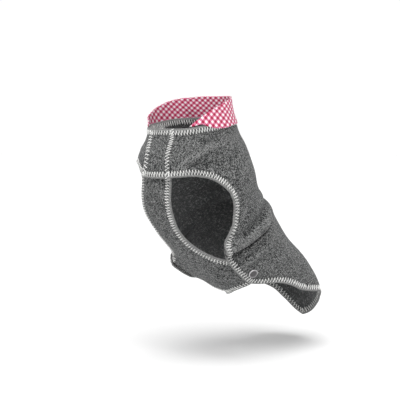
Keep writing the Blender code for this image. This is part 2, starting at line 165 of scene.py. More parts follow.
@dataclass(frozen=True)
class WornForm:
    """The form that the cloth has on the dog, with its folds, wrinkles and flat snaps."""

    sections: tuple[tuple[float, ...], ...] = (
        # along, centre y and z, tilt in degrees, half width, half depth
        (-34, -70.5, 60.0, -4, 50.0, 51.0), (-5, -65.5, 35.0, -2, 50.5, 51.5),
        (15, -61.5, 15.0, 3, 52.0, 53.0), (45, -62.0, -8.5, 8, 60.0, 64.5),
        (77, -54.5, -43.5, 16, 65.0, 71.0), (123, -39.5, -78.5, 26, 64.5, 68.5),
        (165, -6.5, -112.0, 32, 61.5, 64.5), (213, 30.0, -146.5, 33, 58.5, 59.0),
        (260, 70.0, -174.0, 28, 57.5, 55.0), (305, 96.0, -206.5, 20, 57.5, 52.5),
        (345, 100.5, -246.0, 8, 55.0, 48.0),
    )
    folds: tuple[Fold, ...] = (  # those that the solids share
        # across the back, where the coat bends at the end of the chest
        Fold(133, 96, 132, -60, 1.2, 1.0, 8.0, 3.0),
        Fold(146, 104, 144, -20, -2.4, -2.4, 5.5, -3.0),
        Fold(144, -20, 147, -92, -2.4, -1.0, 6.5),
        Fold(156, 78, 156, -50, 2.4, 1.8, 9.0),
        # left flank, running back from the corner behind the foreleg
        Fold(152, 130, 154, 64, 2.6, 1.4, 5.5, -2.0),
        Fold(157, 134, 163, 68, -5.0, -0.8, 3.6, 2.0),
        Fold(166, 128, 166, 92, -2.2, -0.6, 6.0, -1.0),
        Fold(179, 124, 175, 76, 2.2, 0.8, 7.0, 3.0),
        Fold(190, 130, 196, 84, -1.6, -0.4, 8.0, 2.0),
        # right flank, the same but for a lower corner that hangs loose
        Fold(151, -128, 154, -76, 2.2, 0.8, 6.5, 2.0),
        Fold(157, -135, 161, -84, -4.0, -0.8, 4.0, -2.0),
        Fold(176, -124, 180, -78, 2.0, 0.6, 7.0, -3.0),
        Fold(172, -142, 194, -143, 11.0, 7.0, 15.0),
        # shoulders, from the closure towards the withers
        Fold(51, 145, 30, 112, 1.1, 0.5, 5.0, 2.0),
        Fold(56, 128, 44, 100, -1.0, -0.5, 6.0, 1.0),
        Fold(48, -136, 32, -104, 1.0, 0.4, 6.0),
        # hem over the hips
        Fold(292, 66, 250, 52, 1.6, 0.2, 11.0),
        Fold(276, 92, 236, 74, -1.6, -0.2, 10.0),
        Fold(292, -62, 246, -50, 1.8, 0.2, 12.0),
    )
    creases: tuple[Fold, ...] = (  # those of the cloth alone
        # the tuck behind the foreleg: its upper lip leans over a sharp valley
        Fold(151.8, 140, 159.5, 72, 2.4, 0.7, 3.4, 3.0, 3.6),
        Fold(157.2, 140, 163.8, 68, -4.0, -2.2, 1.15, 2.8),
        Fold(156.8, 142, 160.0, 130, -5.0, -2.0, 2.0),
        Fold(169.0, 125, 170.0, 98, 1.1, 0.6, 2.4),
        Fold(174.9, 130, 172.2, 91, -3.0, -1.6, 2.6),
        Fold(178.8, 122, 182.0, 87, 1.7, 0.7, 3.2, -1.0),
        Fold(147.5, 100, 148.8, 70, -1.3, -0.9, 4.0, -1.0),
        Fold(184, 122, 188, 92, -0.6, -0.3, 3.5, 2.0),
        Fold(206, 96, 214, 66, 0.6, 0.2, 6.0, -2.0),
        Fold(228, 84, 240, 48, -0.6, -0.2, 7.0, 2.0),
        # the same on the right flank, not quite alike
        Fold(152.5, -130, 157, -84, 1.1, 0.6, 3.6, -2.0, -2.2),
        Fold(157.8, -134, 161.5, -82, -2.8, -1.4, 1.2, -2.2),
        Fold(156.6, -143, 159.3, -128.5, -6.0, -2.2, 2.25),
        Fold(171, -128, 170, -94, -1.8, -0.8, 3.0, -1.0),
        Fold(186, -118, 193, -82, 0.9, 0.3, 4.5, -2.0),
        Fold(214, -92, 230, -56, -0.6, -0.2, 7.0),
        # wrinkles of the left shoulder, drawn down by the closure
        Fold(47.6, 139, 40.8, 119, 1.5, 0.8, 2.6, 0.6),
        Fold(52.6, 137, 44.8, 116, -1.5, -0.8, 2.4, 0.6),
        Fold(55, 107, 45.0, 76, -1.5, -0.7, 3.2, 1.0),
        Fold(58.4, 112, 54.5, 96, 1.3, 0.6, 2.8, 0.5),
        Fold(38, 146, 27, 128, 0.6, 0.3, 2.8, 0.5),
        Fold(27, 121, 17, 95, -1.5, -0.7, 4.2, 1.0),
        Fold(33, 112, 24, 84, 0.9, 0.4, 4.0, 1.0),
        Fold(68, 84, 60, 52, 0.7, 0.3, 4.5, 1.5),
        Fold(36, 92, 26, 62, 0.6, 0.3, 4.5, 1.0),
        # and of the right shoulder
        Fold(50, -138, 40, -116, 0.9, 0.5, 2.8, -0.8),
        Fold(56, -120, 47, -92, -0.9, -0.4, 3.2, -1.0),
        Fold(36, -142, 27, -122, 0.6, 0.3, 3.0, -0.5),
        Fold(66, -86, 57, -50, 0.7, 0.3, 4.5, -1.5),
        Fold(26, -98, 18, -70, -0.7, -0.3, 4.0),
        # the armholes' rear edges and the wings' rear edge kick out
        Fold(86, 102, 126, 110, 2.2, 2.6, 4.8, 1.5),
        Fold(88, -102, 124, -109, 2.0, 2.3, 4.8, -1.5),
        Fold(229, 142, 240, 180, 3.8, 4.4, 9.0),
        Fold(240, 184, 229, 218, 4.2, 3.4, 9.0),
        # the collar draws in beside the nape
        Fold(-36, 47, -13, 44, -3.2, -2.8, 9.5),
        Fold(-36, -46, -14, -44, -3.0, -2.6, 9.5),
        # flanks over the ribs, and the back
        Fold(84, 84, 118, 80, 0.5, 0.3, 7.0, 2.0),
        Fold(104, 70, 131, 52, -0.5, -0.3, 6.0, -2.0),
        Fold(88, -82, 122, -78, 0.5, 0.3, 7.0, -2.0),
        Fold(196, 30, 222, 12, 0.4, 0.2, 7.0, 2.0),
        Fold(236, -20, 262, -38, -0.4, -0.2, 8.0, 2.0),
        # hem over the rump
        Fold(312, 40, 286, 34, -0.8, -0.1, 8.0, 1.0),
        Fold(330, 14, 296, 10, 0.7, 0.1, 9.0, -1.0),
        Fold(318, -32, 288, -26, -0.8, -0.1, 8.0),
        Fold(270, -92, 246, -78, -0.8, -0.1, 8.0),
        # chest strip
        Fold(96, 174, 112, 184, 0.5, 0.2, 4.0, 1.0),
        Fold(122, 190, 138, 176, -0.5, -0.2, 4.5),
        Fold(168, 150, 196, 128, 0.5, 0.2, 5.0, 2.0),
        Fold(212, 122, 222, 150, -0.5, -0.2, 4.5),
        Fold(202, 186, 176, 200, 0.5, 0.2, 6.0),
        # the left wing, drawn up beside the flap
        Fold(174.5, 153, 183.5, 141.5, -1.2, -0.9, 2.3),
        Fold(180.5, 157, 187.5, 142.5, 1.0, 0.7, 2.1),
        Fold(186.5, 161, 193, 144, -1.4, -0.9, 2.5),
        Fold(193, 167, 198, 150, 1.0, 0.5, 2.3),
        Fold(199, 170, 203.5, 156, -0.8, -0.4, 2.6),
    )
    sharp: float = 2.3
    roundness: float = 2.15
    snap_along: float = 199.0
    snap_turn: float = 123.0
    snap_flat: float = 7.0

    def bare(self, along: Array, turn: Array) -> Array:
        """Points of the form without folds, in mm."""
        rows = np.array(self.sections)
        centre_y, centre_z, tilt, half_width, half_depth = (
            smooth(rows[:, 0], rows[:, column], along) for column in range(1, 6))
        angle, tilt, power = np.radians(turn), np.radians(tilt), 2 / self.roundness
        side = half_width * np.sign(np.sin(angle)) * np.abs(np.sin(angle))**power
        up = half_depth * np.sign(np.cos(angle)) * np.abs(np.cos(angle))**power
        return np.stack([side, centre_y + up * np.cos(tilt), centre_z + up * np.sin(tilt)], -1)

    def outward(self, surface: Surface, along: Array, turn: Array, step: float = 0.5) -> Array:
        """Unit normals of a surface of (along, turn), pointing away from the dog."""
        down = surface(along + step, turn) - surface(along - step, turn)
        round_ = surface(along, turn + step) - surface(along, turn - step)
        return unit(np.cross(round_, down))

    def calm(self, along: Array, turn: Array) -> Array:
        """The folded form without its sharp valleys, whose normals give the cloth its wall."""
        return self.folded(along, turn, self.sharp)

    def folded(self, along: Array, turn: Array, sharpest: float = 0.0) -> Array:
        """Points of the form with its folds and creases, in mm.

        Args:
            along: places down the trunk.
            turn: places round the trunk.
            sharpest: folds narrower than this are left out.

        Returns:
            Points of shape (..., 3).
        """
        wrapped = (np.asarray(turn, float) + 180) % 360 - 180
        place = np.stack([along, wrapped * GIRTH_STEP], -1)
        height = np.zeros(place.shape[:-1])
        pull = np.zeros(place.shape)
        for fold in self.folds + self.creases:
            if fold.width < sharpest:
                continue
            rise, sideways = fold.shape(place)
            height = height + rise
            pull = pull + sideways
        snap = np.array([self.snap_along, self.snap_turn * GIRTH_STEP])
        from_snap = np.linalg.norm(
            np.stack([along, np.abs(place[..., 1])], -1) - snap, axis=-1)
        height = height * ease(self.snap_flat, 3 * self.snap_flat, from_snap)
        moved_along = along + pull[..., 0]
        moved_turn = turn + pull[..., 1] / GIRTH_STEP
        return (self.bare(moved_along, moved_turn)
                + height[..., None] * self.outward(self.bare, moved_along, moved_turn))

    def rise(self, flat: Array, widest: float) -> Array:
        """How high the folds up to a width stand at flat places, in mm."""
        turn = 360 * GIRTH_STEP
        place = np.stack([flat[:, 0], (flat[:, 1] + turn / 2) % turn - turn / 2], -1)
        return np.sum([fold.shape(place)[0] for fold in self.folds + self.creases
                       if fold.width <= widest], axis=0)

    def raised(self, along: Array, turn: Array, lift: Array | float) -> Array:
        """Points that lie lift outside the folded form, in metres."""
        lift = np.broadcast_to(lift, np.shape(along))[..., None]
        return (self.folded(along, turn)
                + lift * self.outward(self.calm, along, turn)) * MM

    def raised_flat(self, flat: Array, lift: Array | float) -> Array:
        """The same for flat places of shape (..., 2)."""
        return self.raised(flat[..., 0], flat[..., 1] / GIRTH_STEP, lift)


# ---------------------------------------------------------------------- patterns and fill
Places = Sequence[tuple[float, float]]


def run_through(places: Places, spacing: float) -> Array:
    """Flat points along a smooth edge through (along, turn) places, without its last one.

    Args:
        places: at least three (along, turn) places.
        spacing: about how far apart the points are, in mm.

    Returns:
        Flat points, shape (n, 2).
    """
    points = np.array(places, float) * (1, GIRTH_STEP)
    reach = np.concatenate([[0], np.cumsum(np.linalg.norm(np.diff(points, axis=0), axis=1))])
    count = max(2, round(reach[-1] / spacing))
    at = np.linspace(0, reach[-1], count + 1)[:-1]
    return np.stack([smooth(reach, points[:, k], at) for k in (0, 1)], -1)


def straight(start: tuple[float, float], end: tuple[float, float]) -> Places:
    """An edge that runs straight from one place to another."""
    return [start, ((start[0] + end[0]) / 2, (start[1] + end[1]) / 2), end]


def mirrored(places: Places) -> Places:
    """The same edge on the dog's other side."""
    return [(along, -turn) for along, turn in places]


def loop_normals(loop: Array) -> Array:
    """Flat unit normals at the points of a closed loop, pointing into it."""
    run = unit(np.roll(loop, -1, axis=0) - np.roll(loop, 1, axis=0))
    side = np.stack([-run[:, 1], run[:, 0]], -1)
    x, y = loop[:, 0], loop[:, 1]
    area = np.sum(x * np.roll(y, -1) - np.roll(x, -1) * y)
    return side if area > 0 else -side


@dataclass(frozen=True)
class Weave:
    """How finely a sheet is meshed: spacings in mm of its rows of points.

    Folds lower than low_fold or wider than wide_fold get no rows of their own.
    """

    inside: float = 2.5
    edge: float = 1.7
    fold: float = 1.3
    valley: float = 0.5
    edge_rows: tuple[float, ...] = (1.0, 2.1, 3.3, 4.6, 5.8, 7.2)
    grid_row: float = 0.866
    low_fold: float = 0.8
    wide_fold: float = 6.6

    def crease_points(self, form: WornForm) -> Array:
        """Flat points on and beside the lines of the sharper folds, the sharpest first."""
        points = []
        for fold in sorted(form.folds + form.creases, key=lambda fold: fold.width):
            if abs(fold.height) < self.low_fold or fold.width > self.wide_fold:
                continue
            sharp = fold.width < form.sharp
            apart, reach = (self.valley, 5) if sharp else (self.fold, 3)
            start, run, side, length = fold.line()
            t = np.linspace(0, 1, round(length / (1.6 * max(apart, 0.8))) + 1)
            middle = start + np.outer(t * length, run) + np.outer(4 * fold.bow * t * (1 - t), side)
            fresh = np.concatenate([middle + side * row * apart
                                    for row in np.arange(-reach, reach + 1)])
            if points:
                fresh = fresh[nearest_gap(fresh, np.concatenate(points)) > 0.8 * self.fold]
            if len(fresh):
                points.append(self.spaced(fresh, 0.7 * apart))
        return np.concatenate(points)

    def spaced(self, points: Array, gap: float) -> Array:
        """The points without those that share a cell of that size with an earlier one."""
        cells = np.floor(points / gap).astype(int)
        _, first = np.unique(cells, axis=0, return_index=True)
        return points[np.sort(first)]

    def fill(self, form: WornForm, loop: Array) -> tuple[Array, list[tuple[int, ...]]]:
        """Corners and triangles that fill a flat loop.

        Args:
            form: the form, whose folds the mesh follows.
            loop: the closed flat outline.

        Returns:
            The flat corners, and the triangles that face outwards once laid on the form.
        """
        inwards = loop_normals(loop)
        rows = np.concatenate([(loop + inwards * depth)[k % 2::2]
                               for k, depth in enumerate(self.edge_rows)])
        folds = self.crease_points(form)
        turn = 360 * GIRTH_STEP
        folds = np.concatenate([folds - (0, turn), folds, folds + (0, turn)])
        low, high = loop.min(axis=0), loop.max(axis=0)
        step = self.inside
        rows_along = np.arange(low[0], high[0], step * self.grid_row)
        grid = np.array([(along, girth + row % 2 * step / 2)
                         for row, along in enumerate(rows_along)
                         for girth in np.arange(low[1], high[1] + step, step)])
        # what would crowd the points that are already kept is left out
        rows = rows[is_inside(rows, loop)]
        rows = rows[nearest_gap(rows, loop) > 0.55 * self.edge_rows[0]]
        rows = self.spaced(rows, 0.7 * self.edge)
        folds = folds[is_inside(folds, loop)]
        folds = folds[nearest_gap(folds, np.concatenate([loop, rows])) > 0.7 * self.valley]
        kept = np.concatenate([loop, rows, folds])
        grid = grid[is_inside(grid, loop)]
        grid = grid[nearest_gap(grid, kept) > 0.6 * self.inside]
        corners = [Vector(point) for point in np.concatenate([kept, grid])]
        border = [(k, (k + 1) % len(loop)) for k in range(len(loop))]
        inside_only, tolerance = 1, 1e-6
        corners, _, triangles, *_ = delaunay_2d_cdt(corners, border, [], inside_only, tolerance)
        return np.array(corners), [tuple(triangle[::-1]) for triangle in triangles]


# ----------------------------------------------------------------------------- shader kit
class Value:
    """A socket of a shader that can be used in sums: each operator adds a Math node."""

    def __init__(self, shader: "Shader", socket: bpy.types.NodeSocket) -> None:
        """Wrap one output socket."""
        self.shader, self.socket = shader, socket

    def math(self, operation: str, *others: "Value | float") -> "Value":
        """The result of a Math node with this value as its first input."""
        return self.shader.math(operation, self, *others)

    def clipped(self) -> "Value":
        """The value kept between 0 and 1."""
        return self.math("MAXIMUM", 0.0).math("MINIMUM", 1.0)

    def __add__(self, other: "Value | float") -> "Value":
        """Self plus other."""
        return self.math("ADD", other)

    def __sub__(self, other: "Value | float") -> "Value":
        """Self minus other."""
        return self.math("SUBTRACT", other)

    def __rsub__(self, other: float) -> "Value":
        """Other minus self."""
        return self.shader.math("SUBTRACT", other, self)

    def __mul__(self, other: "Value | float") -> "Value":
        """Self times other."""
        return self.math("MULTIPLY", other)

    __radd__ = __add__
    __rmul__ = __mul__


def set_stops(node: bpy.types.Node, stops: Sequence[tuple[float, Colour]]) -> None:
    """Give a colour ramp its stops, each a position and a colour."""
    elements = node.color_ramp.elements
    while len(elements) < len(stops):
        elements.new(0.5)
    for element, (position, colour) in zip(elements, stops):
        element.position, element.color = position, (*colour, 1)


class Shader:
    """One material, and the nodes that colour it."""

    def __init__(self, name: str, **constants: float | Triple) -> None:
        """Start a Principled material.

        Args:
            name: the material's name.
            constants: values set directly on the Principled sockets, by name.
        """
        self.material = bpy.data.materials.new(name)
        self.material.use_nodes = True
        self.tree = self.material.node_tree
        self.main = self.tree.nodes["Principled BSDF"]
        for key, value in constants.items():
            socket = self.main.inputs[key.replace("_", " ")]
            socket.default_value = (*value, 1) if isinstance(value, tuple) else value

    def node(self, kind: str, settings: dict | None = None,
             inputs: dict | None = None) -> bpy.types.Node:
        """Add any node.

        Args:
            kind: the node's type.
            settings: its properties, set first. "stops" fills a colour ramp.
            inputs: a value or a Value for each socket, by name or number.

        Returns:
            The new node.
        """
        made = self.tree.nodes.new(kind)
        for key, value in (settings or {}).items():
            if key == "stops":
                set_stops(made, value)
            else:
                setattr(made, key, value)
        for key, value in (inputs or {}).items():
            self.feed(made.inputs[key], value)
        return made

    def feed(self, socket: bpy.types.NodeSocket, value: "Value | float | tuple") -> None:
        """Link a Value to a socket, or set a plain number or colour on it."""
        if isinstance(value, Value):
            self.tree.links.new(value.socket, socket)
        else:
            socket.default_value = value

    def take(self, node: bpy.types.Node, output: int | str = 0) -> Value:
        """One output of a node as a Value."""
        return Value(self, node.outputs[output])

    def math(self, operation: str, *values: "Value | float") -> Value:
        """A Math node's result."""
        node = self.node("ShaderNodeMath", {"operation": operation}, dict(enumerate(values)))
        return self.take(node)

    def pattern(self, scale: Triple = (1, 1, 1), turn: float = 0.0) -> Value:
        """The piece's own UV map in mm, scaled and turned."""
        uv = self.take(self.node("ShaderNodeUVMap", {"uv_map": "pattern"}))
        size = tuple(s / MM for s in scale)
        return self.take(self.node("ShaderNodeMapping", {"vector_type": "POINT"}, {
            "Vector": uv, "Rotation": (0, 0, math.radians(turn)), "Scale": size}))

    def noise(self, vector: Value, scale: float, detail: float = 2.0,
              rough: float = 0.5, distortion: float = 0.0) -> Value:
        """A Noise texture's value."""
        return self.take(self.node("ShaderNodeTexNoise", {"noise_dimensions": "3D"}, {
            "Vector": vector, "Scale": scale, "Detail": detail, "Roughness": rough,
            "Distortion": distortion}))

    def wave(self, run: Value, repeat: float, shift: "Value | float" = 0.0) -> Value:
        """A sine along a coordinate, once every repeat mm."""
        return self.math("SINE", run * (2 * math.pi / repeat) + shift)

    def ruffled(self, vector: Value, scale: float, by: float) -> Value:
        """A vector pushed about by fine noise, so that what it places has frayed edges."""
        push = self.take(self.node("ShaderNodeTexNoise", {"noise_dimensions": "3D"}, {
            "Vector": vector, "Scale": scale, "Detail": 2.0}), "Color")
        return self.take(self.node("ShaderNodeVectorMath", {"operation": "MULTIPLY_ADD"}, {
            0: push, 1: (by, by, by), 2: vector}))

    def attribute(self, name: str) -> Value:
        """A number that the piece keeps at each of its corners."""
        return self.take(self.node("ShaderNodeAttribute", {"attribute_name": name}), "Fac")

    def cells(self, vector: Value, scale: float) -> Value:
        """A random number for each cell of a Voronoi texture."""
        node = self.node("ShaderNodeTexVoronoi", {"feature": "F1"}, {
            "Vector": vector, "Scale": scale, "Randomness": 1.0})
        return self.take(self.node("ShaderNodeSeparateColor", None,
                                   {0: self.take(node, "Color")}))

    def split(self, vector: Value) -> tuple[Value, Value]:
        """The first two coordinates of a vector."""
        node = self.node("ShaderNodeSeparateXYZ", None, {0: vector})
        return self.take(node, 0), self.take(node, 1)

    def ramp(self, value: Value, stops: Iterable[tuple[float, Colour]]) -> Value:
        """A colour ramp's colour."""
        return self.take(self.node("ShaderNodeValToRGB", {"stops": list(stops)}, {0: value}))

    def mix(self, factor: "Value | float", first: "Value | Colour",
            second: "Value | Colour") -> Value:
        """Two colours mixed."""
        first, second = ((*x, 1) if isinstance(x, tuple) else x for x in (first, second))
        return self.take(self.node("ShaderNodeMix", {"data_type": "RGBA"},
                                   {0: factor, 6: first, 7: second}), 2)

    def colour(self, value: Value) -> None:
        """Set the base colour."""
        self.feed(self.main.inputs["Base Color"], value)

    def roughness(self, value: Value) -> None:
        """Set the roughness."""
        self.feed(self.main.inputs["Roughness"], value)

    def bump(self, height: Value, strength: float, distance: float) -> None:
        """Relief from a height value, whose full range is distance mm deep."""
        node = self.node("ShaderNodeBump", None, {
            "Strength": strength, "Distance": distance * MM, "Height": height})
        self.feed(self.main.inputs["Normal"], self.take(node))


@dataclass(frozen=True)
class HeatherFleece:
    """Charcoal jersey flecked with light and dark fibres, brushed on its inner face.

    Stops are the tones that get the dark, middle and light colours. Next to a cut edge, for
    bound_width mm, thread covers the cloth. Painted shade darkens the valleys of the folds and a
    painted highlight lightens their ridges, by the crease attribute, which also narrows the
    thread-covered band in the valleys and widens it on the ridges.
    """

    name: str
    dark: Colour = (0.009, 0.0100, 0.0105)
    middle: Colour = (0.0235, 0.0248, 0.0248)
    light: Colour = (0.246, 0.248, 0.245)
    bound: Colour = (0.215, 0.215, 0.212)
    stops: Triple = (0.18, 0.56, 0.92)
    bound_width: float = 2.1
    wale: float = 1.15
    course: float = 0.9
    fleck: float = 1.42
    contrast: float = 2.6
    # how strongly the crease attribute paints shade into fold valleys and a highlight onto ridges
    crease_shade: float = 0.15
    relief: float = 0.32
    nap: float = 0.12

    def material(self) -> bpy.types.Material:
        """Build the material."""
        s = Shader(self.name, Sheen_Weight=self.nap, Sheen_Roughness=0.55,
                   Sheen_Tint=(0.75, 0.76, 0.77), Specular_IOR_Level=0.22)
        cloth = s.pattern()
        fibres = s.noise(s.pattern((2.9, 0.8, 1), 24), 1.0, 2.0, 0.6)
        across = s.noise(s.pattern((0.85, 2.7, 1), 14), 1.0, 2.0, 0.6)
        clumps = s.noise(cloth, 1.55, 3.0, 0.6, 0.4)
        lint = s.noise(cloth, 4.2, 2.0, 0.6)
        flecks = s.cells(s.ruffled(s.pattern((1.05, 0.72, 1), 20), 2.6, 1.5), self.fleck)
        tufts = s.cells(s.ruffled(s.pattern((0.7, 1.1, 1), -28), 2.3, 1.5), 0.85 * self.fleck)
        cloud = s.noise(cloth, 0.03, 2.0, 0.5)
        grain = ((flecks - 0.5) * 0.48 + (tufts - 0.5) * 0.36 + (clumps - 0.5) * 0.62
                 + (fibres - 0.5) * 0.7 + (across - 0.5) * 0.55 + (lint - 0.5) * 0.45)
        rise = s.attribute("crease")
        # painted shade in fold valleys and painted highlight on ridges, from the crease attribute
        tone = grain * self.contrast + (cloud - 0.5) * 0.10 + rise * self.crease_shade + 0.5
        heather = s.ramp(tone, zip(self.stops, (self.dark, self.middle, self.light)))
        # in fold valleys the thread-covered band narrows and on ridges it widens: painted shade
        # and painted highlight
        edge = (self.bound_width - s.attribute("edge") + (clumps - 0.5) * 1.2 + rise) * 1.5
        s.colour(s.mix(edge.clipped() * (0.45 + fibres * 0.5), heather, self.bound))
        s.roughness(0.98 - tone * 0.12)
        u, v = s.split(cloth)
        wales = s.wave(u, self.wale, clumps * 3.0)
        courses = s.wave(v, self.course, fibres * 3.0)
        height = (clumps * 0.5 + fibres * 0.3 + across * 0.2 + s.noise(cloth, 3.2, 2.0) * 0.25
                  + wales * 0.045 + courses * 0.03)
        s.bump(height, 0.85, self.relief * 2)
        return s.material


@dataclass(frozen=True)
class Gingham:
    """Plain-woven cotton check on the bias: two crossing sets of coloured stripes."""

    name: str = "gingham_cotton"
    white: Colour = (0.88, 0.83, 0.85)
    half: Colour = (0.66, 0.16, 0.29)
    full: Colour = (0.38, 0.0, 0.040)
    repeat: float = 5.5
    bias: float = 45.0
    yarn: float = 0.42

    def material(self) -> bpy.types.Material:
        """Build the material."""
        s = Shader(self.name, Sheen_Weight=0.08, Specular_IOR_Level=0.25)
        cloth = s.pattern(turn=self.bias)
        u, v = s.split(cloth)
        fray = s.noise(cloth, 2.2, 2.0) * 0.35
        down, over = ((s.wave(run + fray, self.repeat) * 5.0 + 0.5).clipped() for run in (u, v))
        amount = (down + over) * 0.5
        yarn = s.wave(u, self.yarn) * s.wave(v, self.yarn)
        tint = s.ramp(amount, [(0.0, self.white), (0.5, self.half), (1.0, self.full)])
        s.colour(s.mix(yarn * 0.03 + 0.02, tint, self.white))
        s.roughness(0.86 - yarn * 0.05)
        s.bump(yarn * 0.5 + s.noise(cloth, 0.7, 2.0), 0.5, 0.25)
        return s.material


@dataclass(frozen=True)
class SewingThread:
    """Off-white textured thread, two plies twisted, with painted shade between the plies and
    streaks of soil.
    """

    name: str = "sewing_thread"
    colour: Colour = (0.92, 0.92, 0.90)
    shade: Colour = (0.60, 0.60, 0.59)
    twist: float = 0.9

    def material(self) -> bpy.types.Material:
        """Build the material."""
        s = Shader(self.name, Sheen_Weight=0.15, Specular_IOR_Level=0.3)
        thread = s.pattern()
        along, round_ = s.split(thread)
        ply = s.wave(along, self.twist, round_ * (2 * math.pi)) * 0.5 + 0.5
        soil = s.noise(s.pattern((0.13, 0.02, 1)), 1.0, 2.0)
        # painted shade in the grooves between the plies, plus real streaks of soil
        shade = ((1 - ply) * 0.35 + (soil - 0.42) * 2.2).clipped()
        s.colour(s.mix(shade, self.colour, self.shade))
        s.roughness(0.72 + soil * 0.2)
        s.bump(ply, 0.6, 0.12)
        return s.material


@dataclass(frozen=True)
class SnapMetal:
    """Satin nickel with fine scratches, a dull centre and a painted highlight on the raised lip.
    """

    name: str = "snap_metal"
    bright: Colour = (0.66, 0.65, 0.66)
    middle: Colour = (0.20, 0.195, 0.20)
    dull: Colour = (0.085, 0.080, 0.083)
    centre_radius: float = 4.1
    lip_radius: float = 4.9

    def material(self) -> bpy.types.Material:
        """Build the material."""
        s = Shader(self.name, Specular_IOR_Level=0.5)
        place = s.pattern()
        radius, _ = s.split(place)
        scratch = s.noise(s.pattern((0.6, 14, 1)), 1.0, 3.0, 0.6)
        mottle = s.noise(place, 0.9, 3.0, 0.6)
        centre = ((self.centre_radius - radius) * 2.5).clipped()
        # painted highlight: the raised lip gets the bright colour, mottled by noise
        lip = ((radius - self.lip_radius) * 2.5).clipped()
        ring = s.mix(lip * (0.55 + mottle * 0.6), self.middle, self.bright)
        s.colour(s.mix(centre, ring, self.dull))
        s.roughness(0.34 + scratch * 0.2 + centre * 0.2)
        s.feed(s.main.inputs["Metallic"], 0.9 - centre * 0.7)
        s.bump(scratch, 0.2, 0.05)
        return s.material


@dataclass(frozen=True)
class StudioFloor:
    """Matt white floor."""

    name: str = "studio_floor"
    colour: Colour = (0.88, 0.88, 0.88)
    mottle: Colour = (0.86, 0.86, 0.86)

    def material(self) -> bpy.types.Material:
        """Build the material."""
        s = Shader(self.name, Roughness=0.9, Specular_IOR_Level=0.1)
        place = s.take(s.node("ShaderNodeTexCoord"), "Object")
        s.colour(s.mix(s.noise(place, 1.5, 2.0), self.colour, self.mottle))
        return s.material


# ---------------------------------------------------------------------------- mesh making
def mesh_object(name: str, corners: Array, faces: Sequence[Sequence[int]], uv: Array,
                materials: Sequence[bpy.types.Material],
                face_materials: Sequence[int] | None = None) -> bpy.types.Object:
    """A smooth-shaded object with its place in its mesh and a UV map in metres.

    Args:
        name: the object's name.
        corners: its points in metres, shape (n, 3).
        faces: indices of each face's corners.
        uv: a UV place for each corner, shape (n, 2).
        materials: its material slots.
        face_materials: the slot of each face, or None for the first.

    Returns:
        The object, linked to the scene.
    """
    mesh = bpy.data.meshes.new(name)
    mesh.from_pydata(corners.tolist(), [], faces)
    layer = mesh.uv_layers.new(name="pattern")
    corner_of = np.empty(len(mesh.loops), int)
    mesh.loops.foreach_get("vertex_index", corner_of)
    layer.data.foreach_set("uv", uv[corner_of].astype(np.float32).ravel())
    for material in materials:
        mesh.materials.append(material)
    if face_materials is not None:
        mesh.polygons.foreach_set("material_index", np.asarray(face_materials, np.int32))
    mesh.shade_smooth()
    mesh.update()
    made = bpy.data.objects.new(name, mesh)
    bpy.context.scene.collection.objects.link(made)
    return made


class ClothFace(Enum):
    """The two faces of a sheet of cloth."""

    OUTER = 1
    INNER = -1


